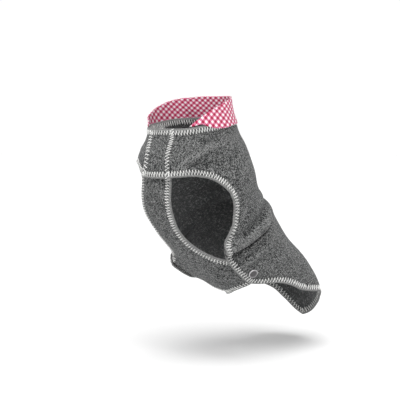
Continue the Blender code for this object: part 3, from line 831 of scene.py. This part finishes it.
@dataclass
class ClothPiece:
    """A cut piece of cloth laid on the form, with its overlocked edge.

    Lengths are in mm. Only flat_size, the cut's two sizes laid flat, is in metres, and
    flat_area in square metres.
    """

    form: WornForm
    fabric: bpy.types.Material
    lining_face: bpy.types.Material
    node: str = ""
    flat_size: tuple[float, float] = (0.0, 0.0)
    flat_area: float = 0.0
    rests_on: tuple[str, ...] = ("back_panel",)
    stitch_pitch: float = 3.25
    hem_pitch: float = 4.4
    wall: float = 2.0
    edge_inset: float = 0.7
    raw_inset: float = 0.15
    roll: float = 0.38
    roll_width: float = 2.4
    seam_line: float = 6.9
    seam_width: float = 1.0
    groove: float = 0.38
    rim_angles: Triple = (50, 0, -50)
    raw_bulge: float = 0.25
    rise_width: float = 6.0
    rise_limits: tuple[float, float] = (-1.6, 1.4)
    uv_girth: float = 1.0
    inner_uv_at: tuple[float, float] = (0.45, 0.0)
    weave: Weave = field(default_factory=Weave)

    def edges(self) -> list[Places]:
        """The edges that close the outline, in turn."""
        raise NotImplementedError

    def unsewn(self) -> list[int]:
        """Numbers of the edges that aren't overlocked."""
        return []

    def lift(self, along: Array, turn: Array) -> Array:
        """Height of the outer face over the form, in mm."""
        raise NotImplementedError

    def outline(self) -> tuple[Array, Array]:
        """The inset flat outline, and for each of its points whether it is overlocked."""
        runs = [run_through(edge, self.weave.edge) for edge in self.edges()]
        sewn = np.concatenate([np.full(len(run), number not in self.unsewn())
                               for number, run in enumerate(runs)])
        loop = np.concatenate(runs)
        inset = np.where(sewn, self.edge_inset, self.raw_inset)[:, None]
        return loop + loop_normals(loop) * inset, sewn

    def relief(self, gap: Array | float) -> Array:
        """How the overlocking shapes the outer face at a distance from the edge, in mm."""
        roll = self.roll * np.exp(-((2 * gap / self.roll_width - 1))**2)
        return roll - self.groove * np.exp(-((gap - self.seam_line) / self.seam_width)**2)

    def surface(self, flat: Array, gap: Array | float = PLAIN,
                face: ClothFace = ClothFace.OUTER, stand: float = 0.0) -> Array:
        """Points on one face of the cloth, in metres.

        Args:
            flat: flat places, shape (..., 2).
            gap: how far each lies from the overlocked edge, in mm.
            face: which face of the cloth.
            stand: how far off that face, away from the cloth.

        Returns:
            Points of shape (..., 3).
        """
        lift = self.lift(flat[..., 0], flat[..., 1] / GIRTH_STEP)
        if face is ClothFace.OUTER:
            return self.form.raised_flat(flat, lift + self.relief(gap) + stand)
        return self.form.raised_flat(flat, lift - self.wall - stand)

    def edge_gap(self, flat: Array, loop: Array, sewn: Array) -> Array:
        """How far flat places lie from the overlocked part of the outline, in mm."""
        if not sewn.any():
            return np.full(len(flat), PLAIN)
        return nearest_gap(self.surface(flat), self.surface(loop[sewn])) / MM

    def rim_rings(self, outer: Array, inner: Array, beyond: Array,
                  bulge: Array) -> list[Array]:
        """Points round the cut edge, from the outer face to the inner.

        Args:
            outer: the edge's corners on the outer face.
            inner: the same on the inner face.
            beyond: points just outside the cloth, beside the outer corners.
            bulge: how round the edge is at each, 1 for a half circle.

        Returns:
            A ring of points in metres for each of rim_angles.
        """
        middle, across = (outer + inner) / 2, outer - inner
        half, up = np.linalg.norm(across, axis=1, keepdims=True) / 2, unit(across)
        out = beyond - outer
        out = unit(out - np.sum(out * up, axis=1, keepdims=True) * up)
        turns = [math.radians(angle) for angle in self.rim_angles]
        return [middle + half * (up * math.sin(a) + out * math.cos(a) * bulge) for a in turns]

    def build(self) -> bpy.types.Object:
        """Make the sheet: two faces joined by a rounded rim."""
        loop, sewn = self.outline()
        flat, triangles = self.weave.fill(self.form, loop)
        gap = self.edge_gap(flat, loop, sewn)
        outer, inner = (self.surface(flat, gap, face) for face in ClothFace)
        count = len(flat)
        rim_edges = self.open_edges(triangles)
        rim = sorted({k for edge in rim_edges for k in edge})
        nearest = np.linalg.norm(flat[rim][:, None] - loop[None], axis=-1).argmin(axis=1)
        beyond = self.surface(flat[rim] - 0.5 * loop_normals(loop)[nearest], gap[rim])
        bulge = np.where(sewn[nearest], 1.0, self.raw_bulge)[:, None]
        rings = self.rim_rings(outer[rim], inner[rim], beyond, bulge)
        corners = np.concatenate([outer, inner, *rings])
        faces = list(triangles) + [(c + count, b + count, a + count) for a, b, c in triangles]
        looks = [0] * len(triangles) + [1] * len(triangles) + [0] * 4 * len(rim_edges)
        down = {k: [k, *(2 * count + ring * len(rim) + n for ring in range(3)), k + count]
                for n, k in enumerate(rim)}
        for i, j in rim_edges:
            faces += [(down[j][k], down[i][k], down[i][k + 1], down[j][k + 1]) for k in range(4)]
        uv = flat[:, ::-1] * (self.uv_girth, 1) * MM
        uvs = np.concatenate([uv, uv * (-1, 1) + self.inner_uv_at, *[uv[rim]] * 3])
        made = mesh_object(f"{self.node}_cloth", corners, faces, uvs,
                           [self.fabric, self.lining_face], looks)
        # the crease attribute: fold height, which the fleece turns into painted shade and
        # highlight
        rise = np.clip(self.form.rise(flat, self.rise_width), *self.rise_limits)
        for name, values in (("edge", gap), ("crease", rise)):
            layer = made.data.attributes.new(name, "FLOAT", "POINT")
            layer.data.foreach_set("value", np.concatenate([values, values, *[values[rim]] * 3]))
        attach(made, BODY)
        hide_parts(self.node)
        return made

    def open_edges(self, triangles: Sequence[tuple[int, ...]]) -> list[tuple[int, int]]:
        """Edges that belong to one triangle only, in that triangle's direction."""
        seen = {(t[k], t[(k + 1) % 3]) for t in triangles for k in range(3)}
        return [edge for edge in seen if edge[::-1] not in seen]


@dataclass
class BackPanel(ClothPiece):
    """Back, both side flaps and both chest straps, cut in one piece."""

    node: str = "back_panel"
    flat_size: tuple[float, float] = (0.342, 0.375)
    flat_area: float = 0.0790
    rests_on: tuple[str, ...] = ()
    strap_rise: tuple[float, float] = (132.0, 158.0)
    tab_height: float = 2.3
    kick: float = 1.4
    neck_edge: Places = ((-1.5, 0), (-1, 45), (1.4, 73), (3.9, 90), (5.6, 102), (7.6, 120),
                         (9.2, 132), (10, 144), (10, STRAP_END))
    left_armhole: Places = ((60, STRAP_END), (60, 147), (62, 127), (67, 114), (78, 103),
                            (92, 98.5), (107, 99), (122, 105), (134, 115), (145, 128.1),
                            (151, 131), (156, 134))
    right_armhole: Places = ((60, -TUCKED_END), (59, -165), (57, -157), (53, -146), (53, -131),
                             (60, -116), (75, -104), (92, -98.5), (107, -99), (122, -105),
                             (134, -115.5), (145, -129), (156, -134.5))
    left_flap: Places = ((156, 134), (162, 136.5), (180, 137.5), (199, 137), (212, 135),
                         (221, 127.5), (230, 117), (240, 109.5), (256, 102), (271, 96),
                         (283, 87.5), (297, 69), (312, 46), (326, 29), (339, 9), (342, 0))
    right_flap: Places = ((156, -134.5), (161, -140), (174, -146), (196, -144), (211, -138),
                          (221, -128), (230, -117), (240, -109.5), (256, -102), (271, -96),
                          (284, -87), (298, -68), (313, -45), (327, -28), (339, -9), (342, 0))

    def edges(self) -> list[Places]:
        """From the neck's middle round by the left side."""
        right_neck = [*mirrored(self.neck_edge), (8, -TUCKED_END)]
        return [self.neck_edge, straight(self.neck_edge[-1], self.left_armhole[0]),
                self.left_armhole, self.left_flap, self.right_flap[::-1],
                self.right_armhole[::-1], straight(self.right_armhole[0], right_neck[-1]),
                right_neck[::-1]]

    def unsewn(self) -> list[int]:
        """The seam to the tab has its own stitch."""
        return [1]

    def lift(self, along: Array, turn: Array) -> Array:
        """The left strap climbs to its tab, and the flaps stand a little off the wings."""
        reach = np.abs(turn)
        flap = ease(129, 137, reach) * ease(158, 172, along) * (1 - ease(204, 220, along))
        return self.tab_height * ease(*self.strap_rise, turn) + self.kick * flap


@dataclass
class ClosureTab(ClothPiece):
    """The tab sewn to the left strap, which closes over the right one."""

    node: str = "closure_tab"
    flat_size: tuple[float, float] = (0.060, 0.043)
    flat_area: float = 0.0022
    stitch_pitch: float = 3.9
    height: float = 2.3
    corner: float = 2.5
    top: float = 10.0
    foot: float = 60.0
    free_edge: Places = ((12.5, 198), (22, 197.5), (31, 195), (40, 191.5), (48, 191),
                         (57.5, 196.5))

    def edges(self) -> list[Places]:
        """From the seam's foot round by the top."""
        seam = STRAP_END + 2 * SEAM_GAP / GIRTH_STEP
        near, cut_off = self.corner, 0.3 * self.corner
        first, last = self.free_edge[0], self.free_edge[-1]
        top_end, foot_end = (self.top, first[1] - near), (self.foot, last[1] - near)
        return [straight((self.foot, seam), (self.top, seam)),
                straight((self.top, seam), top_end),
                [top_end, (self.top + cut_off, first[1] - cut_off), first],
                self.free_edge,
                [last, (self.foot - cut_off, last[1] - cut_off), foot_end],
                straight(foot_end, (self.foot, seam))]

    def unsewn(self) -> list[int]:
        """The seam to the strap has its own stitch."""
        return [0]

    def lift(self, along: Array, turn: Array) -> Array:
        """Level, over the right strap."""
        return np.full(np.shape(along), self.height)


@dataclass
class BellyPanel(ClothPiece):
    """The chest strip that runs between the forelegs and widens into two wings."""

    node: str = "belly_panel"
    flat_size: tuple[float, float] = (0.198, 0.161)
    flat_area: float = 0.0174
    hem_pitch: float = 3.6
    height: float = -2.3
    bulge: float = 2.2
    bulge_along: float = 88.0
    bulge_reach: float = 22.0
    left: Places = ((34, 163), (60, 158.5), (80, 163), (100, 164), (116, 164.5), (134, 161),
                    (150, 153), (162, 143), (170, 128), (174, 107))
    left_end: Places = ((174, 107), (190, 104), (206, 105), (214, 109))
    rear: Places = ((214, 109), (217, 136), (219, 149), (223, 162), (230, 176), (231, 187),
                    (225, 202), (219, 214), (216, 228), (214, 251))
    right_end: Places = ((214, 251), (206, 255), (190, 256), (174, 253))
    right: Places = ((174, 253), (170, 232), (162, 219), (150, 212), (134, 208), (116, 208),
                     (98, 209.5), (80, 208.5), (62, 205), (34, 205))

    def edges(self) -> list[Places]:
        """From the strip's top round by the left wing."""
        return [self.left, self.left_end, self.rear, self.right_end, self.right,
                straight(self.right[-1], self.left[0])]

    def lift(self, along: Array, turn: Array) -> Array:
        """Under the flaps; the strip's right edge stands off where the chest is fullest."""
        bell = np.exp(-((along - self.bulge_along) / self.bulge_reach)**2)
        return self.height + self.bulge * bell * ease(180, 205, turn) * ease(60, 74, along)


@dataclass
class Collar(ClothPiece):
    """The gingham collar: over the neck edge behind, sewn to it in front."""

    node: str = "collar"
    flat_size: tuple[float, float] = (0.258, 0.043)
    flat_area: float = 0.0062
    wall: float = 1.2
    edge_inset: float = 0.3
    uv_girth: float = 0.83
    turn_out: tuple[float, float] = (120.0, 128.0)
    coat_wall: float = 2.0
    hem: float = 0.35
    hem_width: float = 5.0
    hem_step: float = 0.8
    top: Places = ((-33, 0), (-31.5, 38), (-26, 66), (-20, 82), (-11, 99), (1, 123), (9, 138.5))
    foot: Places = ((6, 0), (6.4, 45), (8, 73), (10.8, 90), (10.4, 103), (8.4, 113),
                    (6.2, 120), (7.4, 128), (9, 138.5))

    def edges(self) -> list[Places]:
        """From the nape's top round by the left side."""
        return [self.top, self.foot[::-1], mirrored(self.foot), mirrored(self.top)[::-1]]

    def lift(self, along: Array, turn: Array) -> Array:
        """Outside the back panel behind, in line with the middle of its wall in front."""
        outside = 1 - ease(*self.turn_out, np.abs(turn))
        inside = -(self.coat_wall + self.wall) / 2 + self.wall
        return inside * (1 - outside) + (SEAM_GAP + self.wall) * outside

    def relief(self, gap: Array | float) -> Array:
        """A narrow turned hem, a little thicker than the rest."""
        return -self.hem * ease(self.hem_width - self.hem_step, self.hem_width, gap)


# -------------------------------------------------------------------------------- sewing
def tubes(paths: Array, across: Array, radius: Array | float,
          closed: bool) -> tuple[Array, Array, Array]:
    """Thin round threads along many paths at once.

    Args:
        paths: points of each path in metres, shape (n, m, 3).
        across: a direction for each path that it doesn't follow, shape (n, 3).
        radius: the threads' radius in mm, one for all or one each.
        closed: whether each path joins up with its start.

    Returns:
        Corners (k, 3), quads (f, 4) and the UV place of each corner in metres (k, 2).
    """
    sides, ply_shift = 4, 17.3 * MM
    run = unit(np.roll(paths, -1, axis=1) - np.roll(paths, 1, axis=1) if closed
               else np.gradient(paths, axis=1))
    across = np.broadcast_to(across[:, None], paths.shape)
    first = unit(across - np.sum(across * run, axis=-1, keepdims=True) * run)
    second = np.cross(run, first)
    angle = np.pi / sides + 2 * np.pi * np.arange(sides) / sides
    ring = (first[..., None, :] * np.cos(angle)[:, None]
            + second[..., None, :] * np.sin(angle)[:, None])
    thick = np.broadcast_to(radius, len(paths))[:, None, None, None] * MM
    corners = paths[..., None, :] + thick * ring
    n, m = paths.shape[:2]
    index = np.arange(n * m * sides).reshape(n, m, sides)
    here = index if closed else index[:, :-1]
    there = np.roll(index, -1, axis=1) if closed else index[:, 1:]
    quads = np.stack([here, np.roll(here, -1, axis=2), np.roll(there, -1, axis=2), there], -1)
    quads = quads.reshape(-1, 4)
    if not closed:
        quads = np.concatenate([quads, index[:, 0, ::-1], index[:, -1]])
    steps = np.linalg.norm(np.diff(paths, axis=1, prepend=paths[:, :1]), axis=-1)
    reach = np.cumsum(steps, axis=1) + ply_shift * np.arange(n)[:, None]
    uv = np.stack([np.broadcast_to(reach[..., None], (n, m, sides)),
                   np.broadcast_to(np.arange(sides) / sides * MM, (n, m, sides))], -1)
    return corners.reshape(-1, 3), quads, uv.reshape(-1, 2)


@dataclass
class ThreadWork:
    """Threads gathered into one object."""

    name: str
    thread: bpy.types.Material
    slot: str
    parts: list[tuple[Array, Array, Array]] = field(default_factory=list)

    def add(self, paths: Array, across: Array, radius: Array | float,
            closed: bool = False) -> None:
        """Take up more threads, as for tubes."""
        self.parts.append(tubes(paths, across, radius, closed))

    def build(self) -> bpy.types.Object:
        """Make the object."""
        starts = np.cumsum([0] + [len(part[0]) for part in self.parts[:-1]])
        corners = np.concatenate([part[0] for part in self.parts])
        quads = np.concatenate([part[1] + start for part, start in zip(self.parts, starts)])
        uv = np.concatenate([part[2] for part in self.parts])
        made = mesh_object(self.name, corners, quads.tolist(), uv, [self.thread])
        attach(made, BODY)
        return made


@dataclass(frozen=True)
class Stations:
    """Flat places of the stitches, the flat steps of 1 mm along and inwards, and the pitch."""

    place: Array
    ahead: Array
    inward: Array
    pitch: Array


@dataclass
class Overlocking:
    """Bold stitches across a cut edge, with fine thread between them and round the rim.

    They lie from near to far mm in from the edge. From the first to the second of widens,
    down the trunk, the pitch goes from the cloth's stitch_pitch to its hem_pitch. A fold
    deeper than tuck hides the edge, so it gets no stitch. Uneven gives how far the stitches
    stray along the edge and at their two ends, and thickness their range of radii.
    """

    cloth: ClothPiece
    thread: bpy.types.Material
    widens: tuple[float, float] = (95.0, 172.0)
    tuck: float = -0.9
    near: float = 1.9
    far: float = 6.7
    radius: float = 0.5
    link_radius: float = 0.19
    wrap_radius: float = 0.14
    uneven: Triple = (0.07, 0.16, 0.2)
    thickness: tuple[float, float] = (0.78, 1.12)
    inner_sink: float = 0.2
    seed: int = 5
    # shares of the pitch along the edge and of the way in from near to far, and mm off the cloth
    bold: tuple[Triple, ...] = ((-0.13, -0.06, 0.02), (-0.12, 0.03, 0.28), (0.0, 0.5, 0.36),
                                (0.12, 0.94, 0.30), (0.13, 1.03, 0.02))
    link: tuple[Triple, ...] = ((0.12, 0.96, 0.10), (0.26, 0.82, 0.10), (0.74, 0.18, 0.10),
                                (0.88, 0.02, 0.10))
    # a share of the pitch, a share of near or None at the rim, the face, and mm off it
    wrap: tuple[tuple[float, float | None, ClothFace | None, float], ...] = (
        (0.09, 1.0, ClothFace.OUTER, 0.05), (0.24, 0.45, ClothFace.OUTER, 0.08),
        (0.27, None, None, 0.0), (0.24, 0.45, ClothFace.INNER, 0.0),
        (0.09, 1.0, ClothFace.INNER, 0.0))

    def sewn_lines(self) -> list[Array]:
        """The overlocked stretches of the outline, as flat lines in its direction."""
        loop, sewn = self.cloth.outline()
        if sewn.all():
            return [np.concatenate([loop, loop[:1]])]
        first = int(np.flatnonzero(sewn & ~np.roll(sewn, 1))[0])
        order = np.roll(np.arange(len(loop)), -first)
        run = order[: int(sewn.sum()) + 1]
        return [loop[run]]

    def stations(self, line: Array) -> Stations:
        """Stitch places along a line, wider apart down the flanks and none down in a tuck."""
        ahead = unit(np.gradient(line, axis=0))
        sign = self.inward_sign(line, ahead)
        laid = self.cloth.surface(line) / MM
        pitch, hem_pitch = self.cloth.stitch_pitch, self.cloth.hem_pitch
        pitch = pitch + (hem_pitch - pitch) * ease(*self.widens, line[:, 0])
        length = np.linalg.norm(np.diff(laid, axis=0), axis=1)
        reach = np.concatenate([[0], np.cumsum(2 * length / (pitch[1:] + pitch[:-1]))])
        count = int(reach[-1])
        at = (np.arange(count) + 0.5) * reach[-1] / count
        place = np.stack([np.interp(at, reach, line[:, k]) for k in (0, 1)], -1)
        ahead = unit(np.stack([np.interp(at, reach, ahead[:, k]) for k in (0, 1)], -1))
        side = np.stack([-ahead[:, 1], ahead[:, 0]], -1) * sign
        here = self.cloth.surface(place) / MM
        steps = np.array([(self.cloth.surface(place + step) / MM - here) / 0.5
                          for step in ((0.5, 0), (0, 0.5))])
        grid = np.einsum("anc,bnc->nab", steps, steps)
        inward = np.linalg.solve(grid, side[..., None])[..., 0]
        inward /= np.sqrt(np.einsum("na,na->n", side, inward))[:, None]
        ahead = ahead / np.sqrt(np.einsum("na,nab,nb->n", ahead, grid, ahead))[:, None]
        pitch = np.interp(at, reach, pitch) * reach[-1] / count
        high = self.cloth.form.rise(place + 3 * inward, self.cloth.form.sharp) > self.tuck
        return Stations(place[high], ahead[high], inward[high], pitch[high])

    def inward_sign(self, line: Array, ahead: Array) -> float:
        """1 if the cloth lies to the left of the line's direction, otherwise -1."""
        loop, _ = self.cloth.outline()
        middle = len(line) // 2
        side = np.array([-ahead[middle, 1], ahead[middle, 0]])
        return 1.0 if is_inside((line[middle] + side)[None], loop)[0] else -1.0

    def points(self, stations: Stations, u: Array, v: Array,
               face: ClothFace | None, stand: float) -> Array:
        """Points beside the stations.

        Args:
            stations: as from stations.
            u: how far along the edge from each station, in mm.
            v: how far inwards from the edge, in mm.
            face: the face of the cloth, or None for the middle of its rim.
            stand: how far off that face.

        Returns:
            One point in metres for each station.
        """
        flat = stations.place + stations.ahead * u[:, None] + stations.inward * v[:, None]
        if face is None:
            outer, inner = (self.cloth.surface(flat, np.zeros(len(flat)), each)
                            for each in ClothFace)
            return (outer + inner) / 2
        return self.cloth.surface(flat, v, face, stand)

    def build(self) -> bpy.types.Object:
        """Sew every stretch of the edge."""
        rng = np.random.default_rng(self.seed)
        work = ThreadWork(f"{self.cloth.node}_overlocking", self.thread, self.cloth.node)
        for line in self.sewn_lines():
            self.sew(work, self.stations(line), rng)
        return work.build()

    def sew(self, work: ThreadWork, stations: Stations, rng: np.random.Generator) -> None:
        """Add the bold stitches on both faces, the links between them and the rim's wraps."""
        p = stations.pitch
        count = len(p)
        rim = self.cloth.wall / 2 * 0.9 + self.wrap_radius * 0.6
        slip_by, near_by, far_by = self.uneven
        slip = rng.normal(0, slip_by, count + 1)
        near = self.near + rng.normal(0, near_by, count + 1)
        far = self.far + rng.normal(0, far_by, count)
        thick = self.radius * rng.uniform(*self.thickness, count)
        zero = np.zeros(count)
        normal = unit(self.points(stations, zero, zero + 3, ClothFace.OUTER, 1)
                      - self.points(stations, zero, zero + 3, ClothFace.OUTER, 0))
        for face, lower in ((ClothFace.OUTER, 0.0), (ClothFace.INNER, self.inner_sink)):
            for line, radius in ((self.bold, thick), (self.link, self.link_radius)):
                paths = []
                for u, rise, stand in line:
                    foot, shift = (row[:-1] if u < 0.5 else row[1:] for row in (near, slip))
                    paths.append(self.points(stations, p * u + shift,
                                             foot + (far - foot) * rise, face, stand - lower))
                work.add(np.stack(paths, axis=1), normal, radius)
        around = [(side * u, deep, face, stand)
                  for side, half in ((1, self.wrap), (-1, self.wrap[::-1]))
                  for u, deep, face, stand in half]
        paths = np.stack([
            self.points(stations, p * (u - 0.13) + slip[:-1],
                        np.full(count, -rim) if deep is None else near[:-1] * deep, face, stand)
            for u, deep, face, stand in around], axis=1)
        along = unit(self.points(stations, zero + 0.5, near[:-1], ClothFace.OUTER, 0)
                     - self.points(stations, zero - 0.5, near[:-1], ClothFace.OUTER, 0))
        work.add(paths, along, self.wrap_radius, closed=True)


@dataclass
class FlatlockSeam:
    """The flat zigzag seam between the left strap and the closure tab."""

    tab: ClosureTab
    thread: bpy.types.Material
    pitch: float = 2.7
    half_width: float = 2.4
    radius: float = 0.42
    link_radius: float = 0.2
    end_gap: float = 1.2
    uneven: float = 0.15
    seed: int = 11
    # shares of the pitch down the seam, and of half the width to its two sides
    bold: tuple[tuple[float, float], ...] = (
        (-0.42, -1.0), (-0.34, -1.02), (-0.12, -0.3), (0.06, 0.3), (0.30, 1.02), (0.38, 1.0))
    link: tuple[tuple[float, float], ...] = (
        (0.36, 1.0), (0.42, 0.9), (0.48, 0.3), (0.50, -0.3), (0.56, -0.9), (0.60, -1.0))

    def build(self) -> bpy.types.Object:
        """Sew both faces of the seam."""
        rng = np.random.default_rng(self.seed)
        work = ThreadWork("closure_seam_stitches", self.thread, self.tab.node)
        seam = STRAP_END + SEAM_GAP / GIRTH_STEP
        ends = (self.tab.top + self.end_gap, self.tab.foot - self.end_gap)
        count = int((ends[1] - ends[0]) / self.pitch)
        along = np.linspace(*ends, count)
        step = along[1] - along[0]
        for face, stand in ((ClothFace.OUTER, 0.2), (ClothFace.INNER, 0.08)):
            reach = self.half_width + rng.normal(0, self.uneven, (count, 2))
            for line, radius in ((self.bold, self.radius), (self.link, self.link_radius)):
                self.lay(work, along, seam, [(step * a, reach * abs(b), b) for a, b in line],
                         face, stand, radius)
        return work.build()

    def lay(self, work: ThreadWork, along: Array, seam: float,
            line: Sequence[tuple[float, Array, float]], face: ClothFace, stand: float,
            radius: float) -> None:
        """Lay one short thread at each stitch.

        Args:
            work: where the thread goes.
            along: the place of each stitch down the seam.
            seam: the seam's turn.
            line: for each point its step along, its reach to the two sides, and its side.
            face: the face of the cloth.
            stand: how far off that face.
            radius: the thread's radius.
        """
        points = []
        for forth, reach, side in line:
            girth = seam * GIRTH_STEP + np.where(side < 0, -1, 1) * reach[:, 0 if side < 0 else 1]
            flat = np.stack([along + forth, girth], -1)
            points.append(self.tab.surface(flat, PLAIN, face, stand))
        normal = self.tab.form.outward(self.tab.form.folded, along, np.full(len(along), seam))
        work.add(np.stack(points, axis=1), normal, radius)


# --------------------------------------------------------------------------------- snaps
class Side(Enum):
    """The dog's two sides."""

    LEFT = 1
    RIGHT = -1


@dataclass
class RingSnap:
    """A ring snap: a cap with a raised rim outside the flap, a stud inside the wing."""

    form: WornForm
    metal: bpy.types.Material
    radius: float = 5.9
    rim: float = 1.5
    floor: float = 0.55
    recess: float = 3.6
    inner_lift: float = -5.0
    segments: int = 40

    def lathe(self, name: str, rings: Sequence[tuple[float, float]]) -> bpy.types.Object:
        """A round piece drawn up ring by ring from a filled circle.

        Args:
            name: the object's name.
            rings: (radius, height) in mm of each ring, from the outside of the back inwards.

        Returns:
            The object, at the origin with its axis along Z.
        """
        bpy.ops.object.select_all(action="DESELECT")
        bpy.ops.mesh.primitive_circle_add(vertices=self.segments, fill_type="NGON",
                                          radius=rings[0][0] * MM,
                                          location=(0, 0, rings[0][1] * MM))
        made = bpy.context.active_object
        made.name = made.data.name = name
        bpy.ops.object.transform_apply(location=True)
        bpy.ops.object.mode_set(mode="EDIT")
        bpy.ops.mesh.select_all(action="SELECT")
        bpy.ops.mesh.duplicate()
        for (radius, height), (next_radius, next_height) in zip(rings, rings[1:]):
            bpy.ops.mesh.extrude_region_move(
                TRANSFORM_OT_translate={"value": (0, 0, (next_height - height) * MM)})
            scale = next_radius / radius
            bpy.ops.transform.resize(value=(scale, scale, 1))
        bpy.ops.mesh.select_all(action="SELECT")
        bpy.ops.mesh.remove_doubles(threshold=1e-6)
        bpy.ops.mesh.normals_make_consistent(inside=False)
        bpy.ops.object.mode_set(mode="OBJECT")
        bpy.ops.object.shade_smooth_by_angle(angle=math.radians(40))
        return made

    def place(self, piece: bpy.types.Object, side: Side, lift: float, facing: int,
              node: str) -> bpy.types.Object:
        """Set a piece square on the cloth, give it its UV map, hang it on the body and hide its
        node's part.
        """
        along = np.array([self.form.snap_along])
        turn = np.array([self.form.snap_turn * side.value])
        normal = Vector(self.form.outward(self.form.folded, along, turn)[0]) * facing
        seat = Vector(self.form.raised(along, turn, lift)[0])
        layer = piece.data.uv_layers.new(name="pattern")
        for loop in piece.data.loops:
            x, y, z = piece.data.vertices[loop.vertex_index].co
            layer.data[loop.index].uv = (math.hypot(x, y), (math.atan2(y, x) + z) * MM)
        square = normal.to_track_quat("Z", "Y").to_matrix().to_4x4()
        piece.data.transform(Matrix.Translation(seat) @ square)
        piece.data.materials.append(self.metal)
        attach(piece, BODY)
        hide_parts(node)
        return piece

    def build(self, side: Side) -> list[bpy.types.Object]:
        """Make one snap's cap and stud."""
        r, word = self.radius, side.name.lower()
        cap = self.lathe(f"snap_cap_{word}_ring", [
            (r - 0.5, 0.0), (r, 0.35), (r - 0.05, 0.8), (r - 0.4, 1.25), (r - 0.9, self.rim),
            (r - 1.4, 1.3), (r - 1.8, 0.85), (self.recess, self.floor),
            (self.recess - 0.6, self.floor - 0.12), (1.2, self.floor - 0.05), (0.4, self.floor)])
        stud = self.lathe(f"snap_stud_{word}_ring", [
            (r - 0.6, 0.0), (r - 0.4, 0.3), (r - 0.8, 0.7), (r - 2.2, 0.75), (r - 2.8, 1.0),
            (1.6, 1.05), (1.2, 0.85), (0.4, 0.8)])
        return [self.place(cap, side, SEAM_GAP, 1, f"snap_cap_{word}"),
                self.place(stud, side, self.inner_lift, -1, f"snap_stud_{word}")]


# -------------------------------------------------------------------------------- studio
@dataclass
class Studio:
    """Floor, soft lights and camera."""

    target: Triple = (0.0, -0.0494, -0.0681)
    azimuth: float = 45.0
    elevation: float = 5.0
    distance: float = 1.2
    lens: float = 90.0
    floor_height: float = -0.27
    floor_radius: float = 6.0
    haze: tuple[tuple[float, float], ...] = ((0.0, 1.02), (0.2, 1.02), (0.5, 0.47), (1.0, 0.43))
    sun: Triple = (0.55, -0.7, 1.5)
    sun_power: float = 3.0
    sun_width: float = 45.0

    def pointed(self, name: str, data: bpy.types.ID, back: Vector) -> bpy.types.Object:
        """A camera or light in the scene, turned to look the other way from back."""
        made = bpy.data.objects.new(name, data)
        made.rotation_euler = back.to_track_quat("Z", "Y").to_euler()
        bpy.context.scene.collection.objects.link(made)
        return made

    def camera(self) -> None:
        """The camera, looking at the coat's middle."""
        data = bpy.data.cameras.new("camera")
        data.lens, data.sensor_width = self.lens, 36.0
        turn, up = math.radians(self.azimuth), math.radians(self.elevation)
        back = Vector((math.sin(turn) * math.cos(up), -math.cos(turn) * math.cos(up),
                       math.sin(up)))
        made = self.pointed("camera", data, back)
        made.location = Vector(self.target) + back * self.distance
        bpy.context.scene.camera = made

    def skylight(self) -> bpy.types.World:
        """White all round near the horizon, dimmer overhead."""
        world = bpy.data.worlds.new("studio_world")
        world.use_nodes = True
        tree = world.node_tree
        place = tree.nodes.new("ShaderNodeTexCoord")
        height = tree.nodes.new("ShaderNodeSeparateXYZ")
        ramp = tree.nodes.new("ShaderNodeValToRGB")
        set_stops(ramp, [(position, (level,) * 3) for position, level in self.haze])
        tree.links.new(place.outputs["Generated"], height.inputs[0])
        tree.links.new(height.outputs["Z"], ramp.inputs[0])
        tree.links.new(ramp.outputs[0], tree.nodes["Background"].inputs["Color"])
        return world

    def sunlight(self) -> None:
        """One very soft light from above, a little in front of the dog."""
        data = bpy.data.lights.new("sunlight", "SUN")
        data.energy, data.angle = self.sun_power, math.radians(self.sun_width)
        self.pointed("sunlight", data, Vector(self.sun))

    def build(self) -> None:
        """Set up the whole studio."""
        scene = bpy.context.scene
        scene.view_settings.view_transform = "Standard"
        scene.world = self.skylight()
        bpy.ops.object.select_all(action="DESELECT")
        bpy.ops.mesh.primitive_circle_add(vertices=96, radius=self.floor_radius,
                                          fill_type="NGON",
                                          location=(0, 0, self.floor_height))
        floor = bpy.context.active_object
        floor.name = floor.data.name = "studio_floor"
        bpy.ops.object.transform_apply(location=True)
        floor.data.materials.append(StudioFloor().material())
        self.sunlight()
        self.camera()


# ---------------------------------------------------------------------------------- main
def main() -> None:
    """Build the coat piece by piece, then the studio."""
    logging.basicConfig(level=logging.INFO, format="%(name)s: %(message)s")
    form = WornForm()
    fleece = HeatherFleece("heather_fleece").material()
    # the inner face takes a low-contrast copy of the fleece that comes out darker than the outer:
    # painted shade, besides its real brushed nap
    brushed = HeatherFleece("shaded_brushed_inner_face", contrast=0.7, relief=0.5, nap=0.5,
                            fleck=0.8).material()
    gingham = Gingham().material()
    thread = SewingThread().material()
    back = BackPanel(form, fleece, brushed)
    tab = ClosureTab(form, fleece, brushed)
    belly = BellyPanel(form, fleece, brushed)
    collar = Collar(form, gingham, gingham)
    for cloth in (back, tab, belly, collar):
        sheet = cloth.build()
        sewing = []
        if cloth is not collar:
            sewing.append(Overlocking(cloth, thread).build())
        if cloth is tab:
            sewing.append(FlatlockSeam(tab, thread).build())
        list(cloth.rests_on)
        log.info("%s: %d faces, sewing %s", sheet.name, len(sheet.data.polygons),
                 [len(piece.data.polygons) for piece in sewing])
    metal = SnapMetal().material()
    for side in Side:
        for piece in RingSnap(form, metal).build(side):
            log.info("%s: %d faces", piece.name, len(piece.data.polygons))
    Studio().build()


if __name__ == "__main__":
    main()
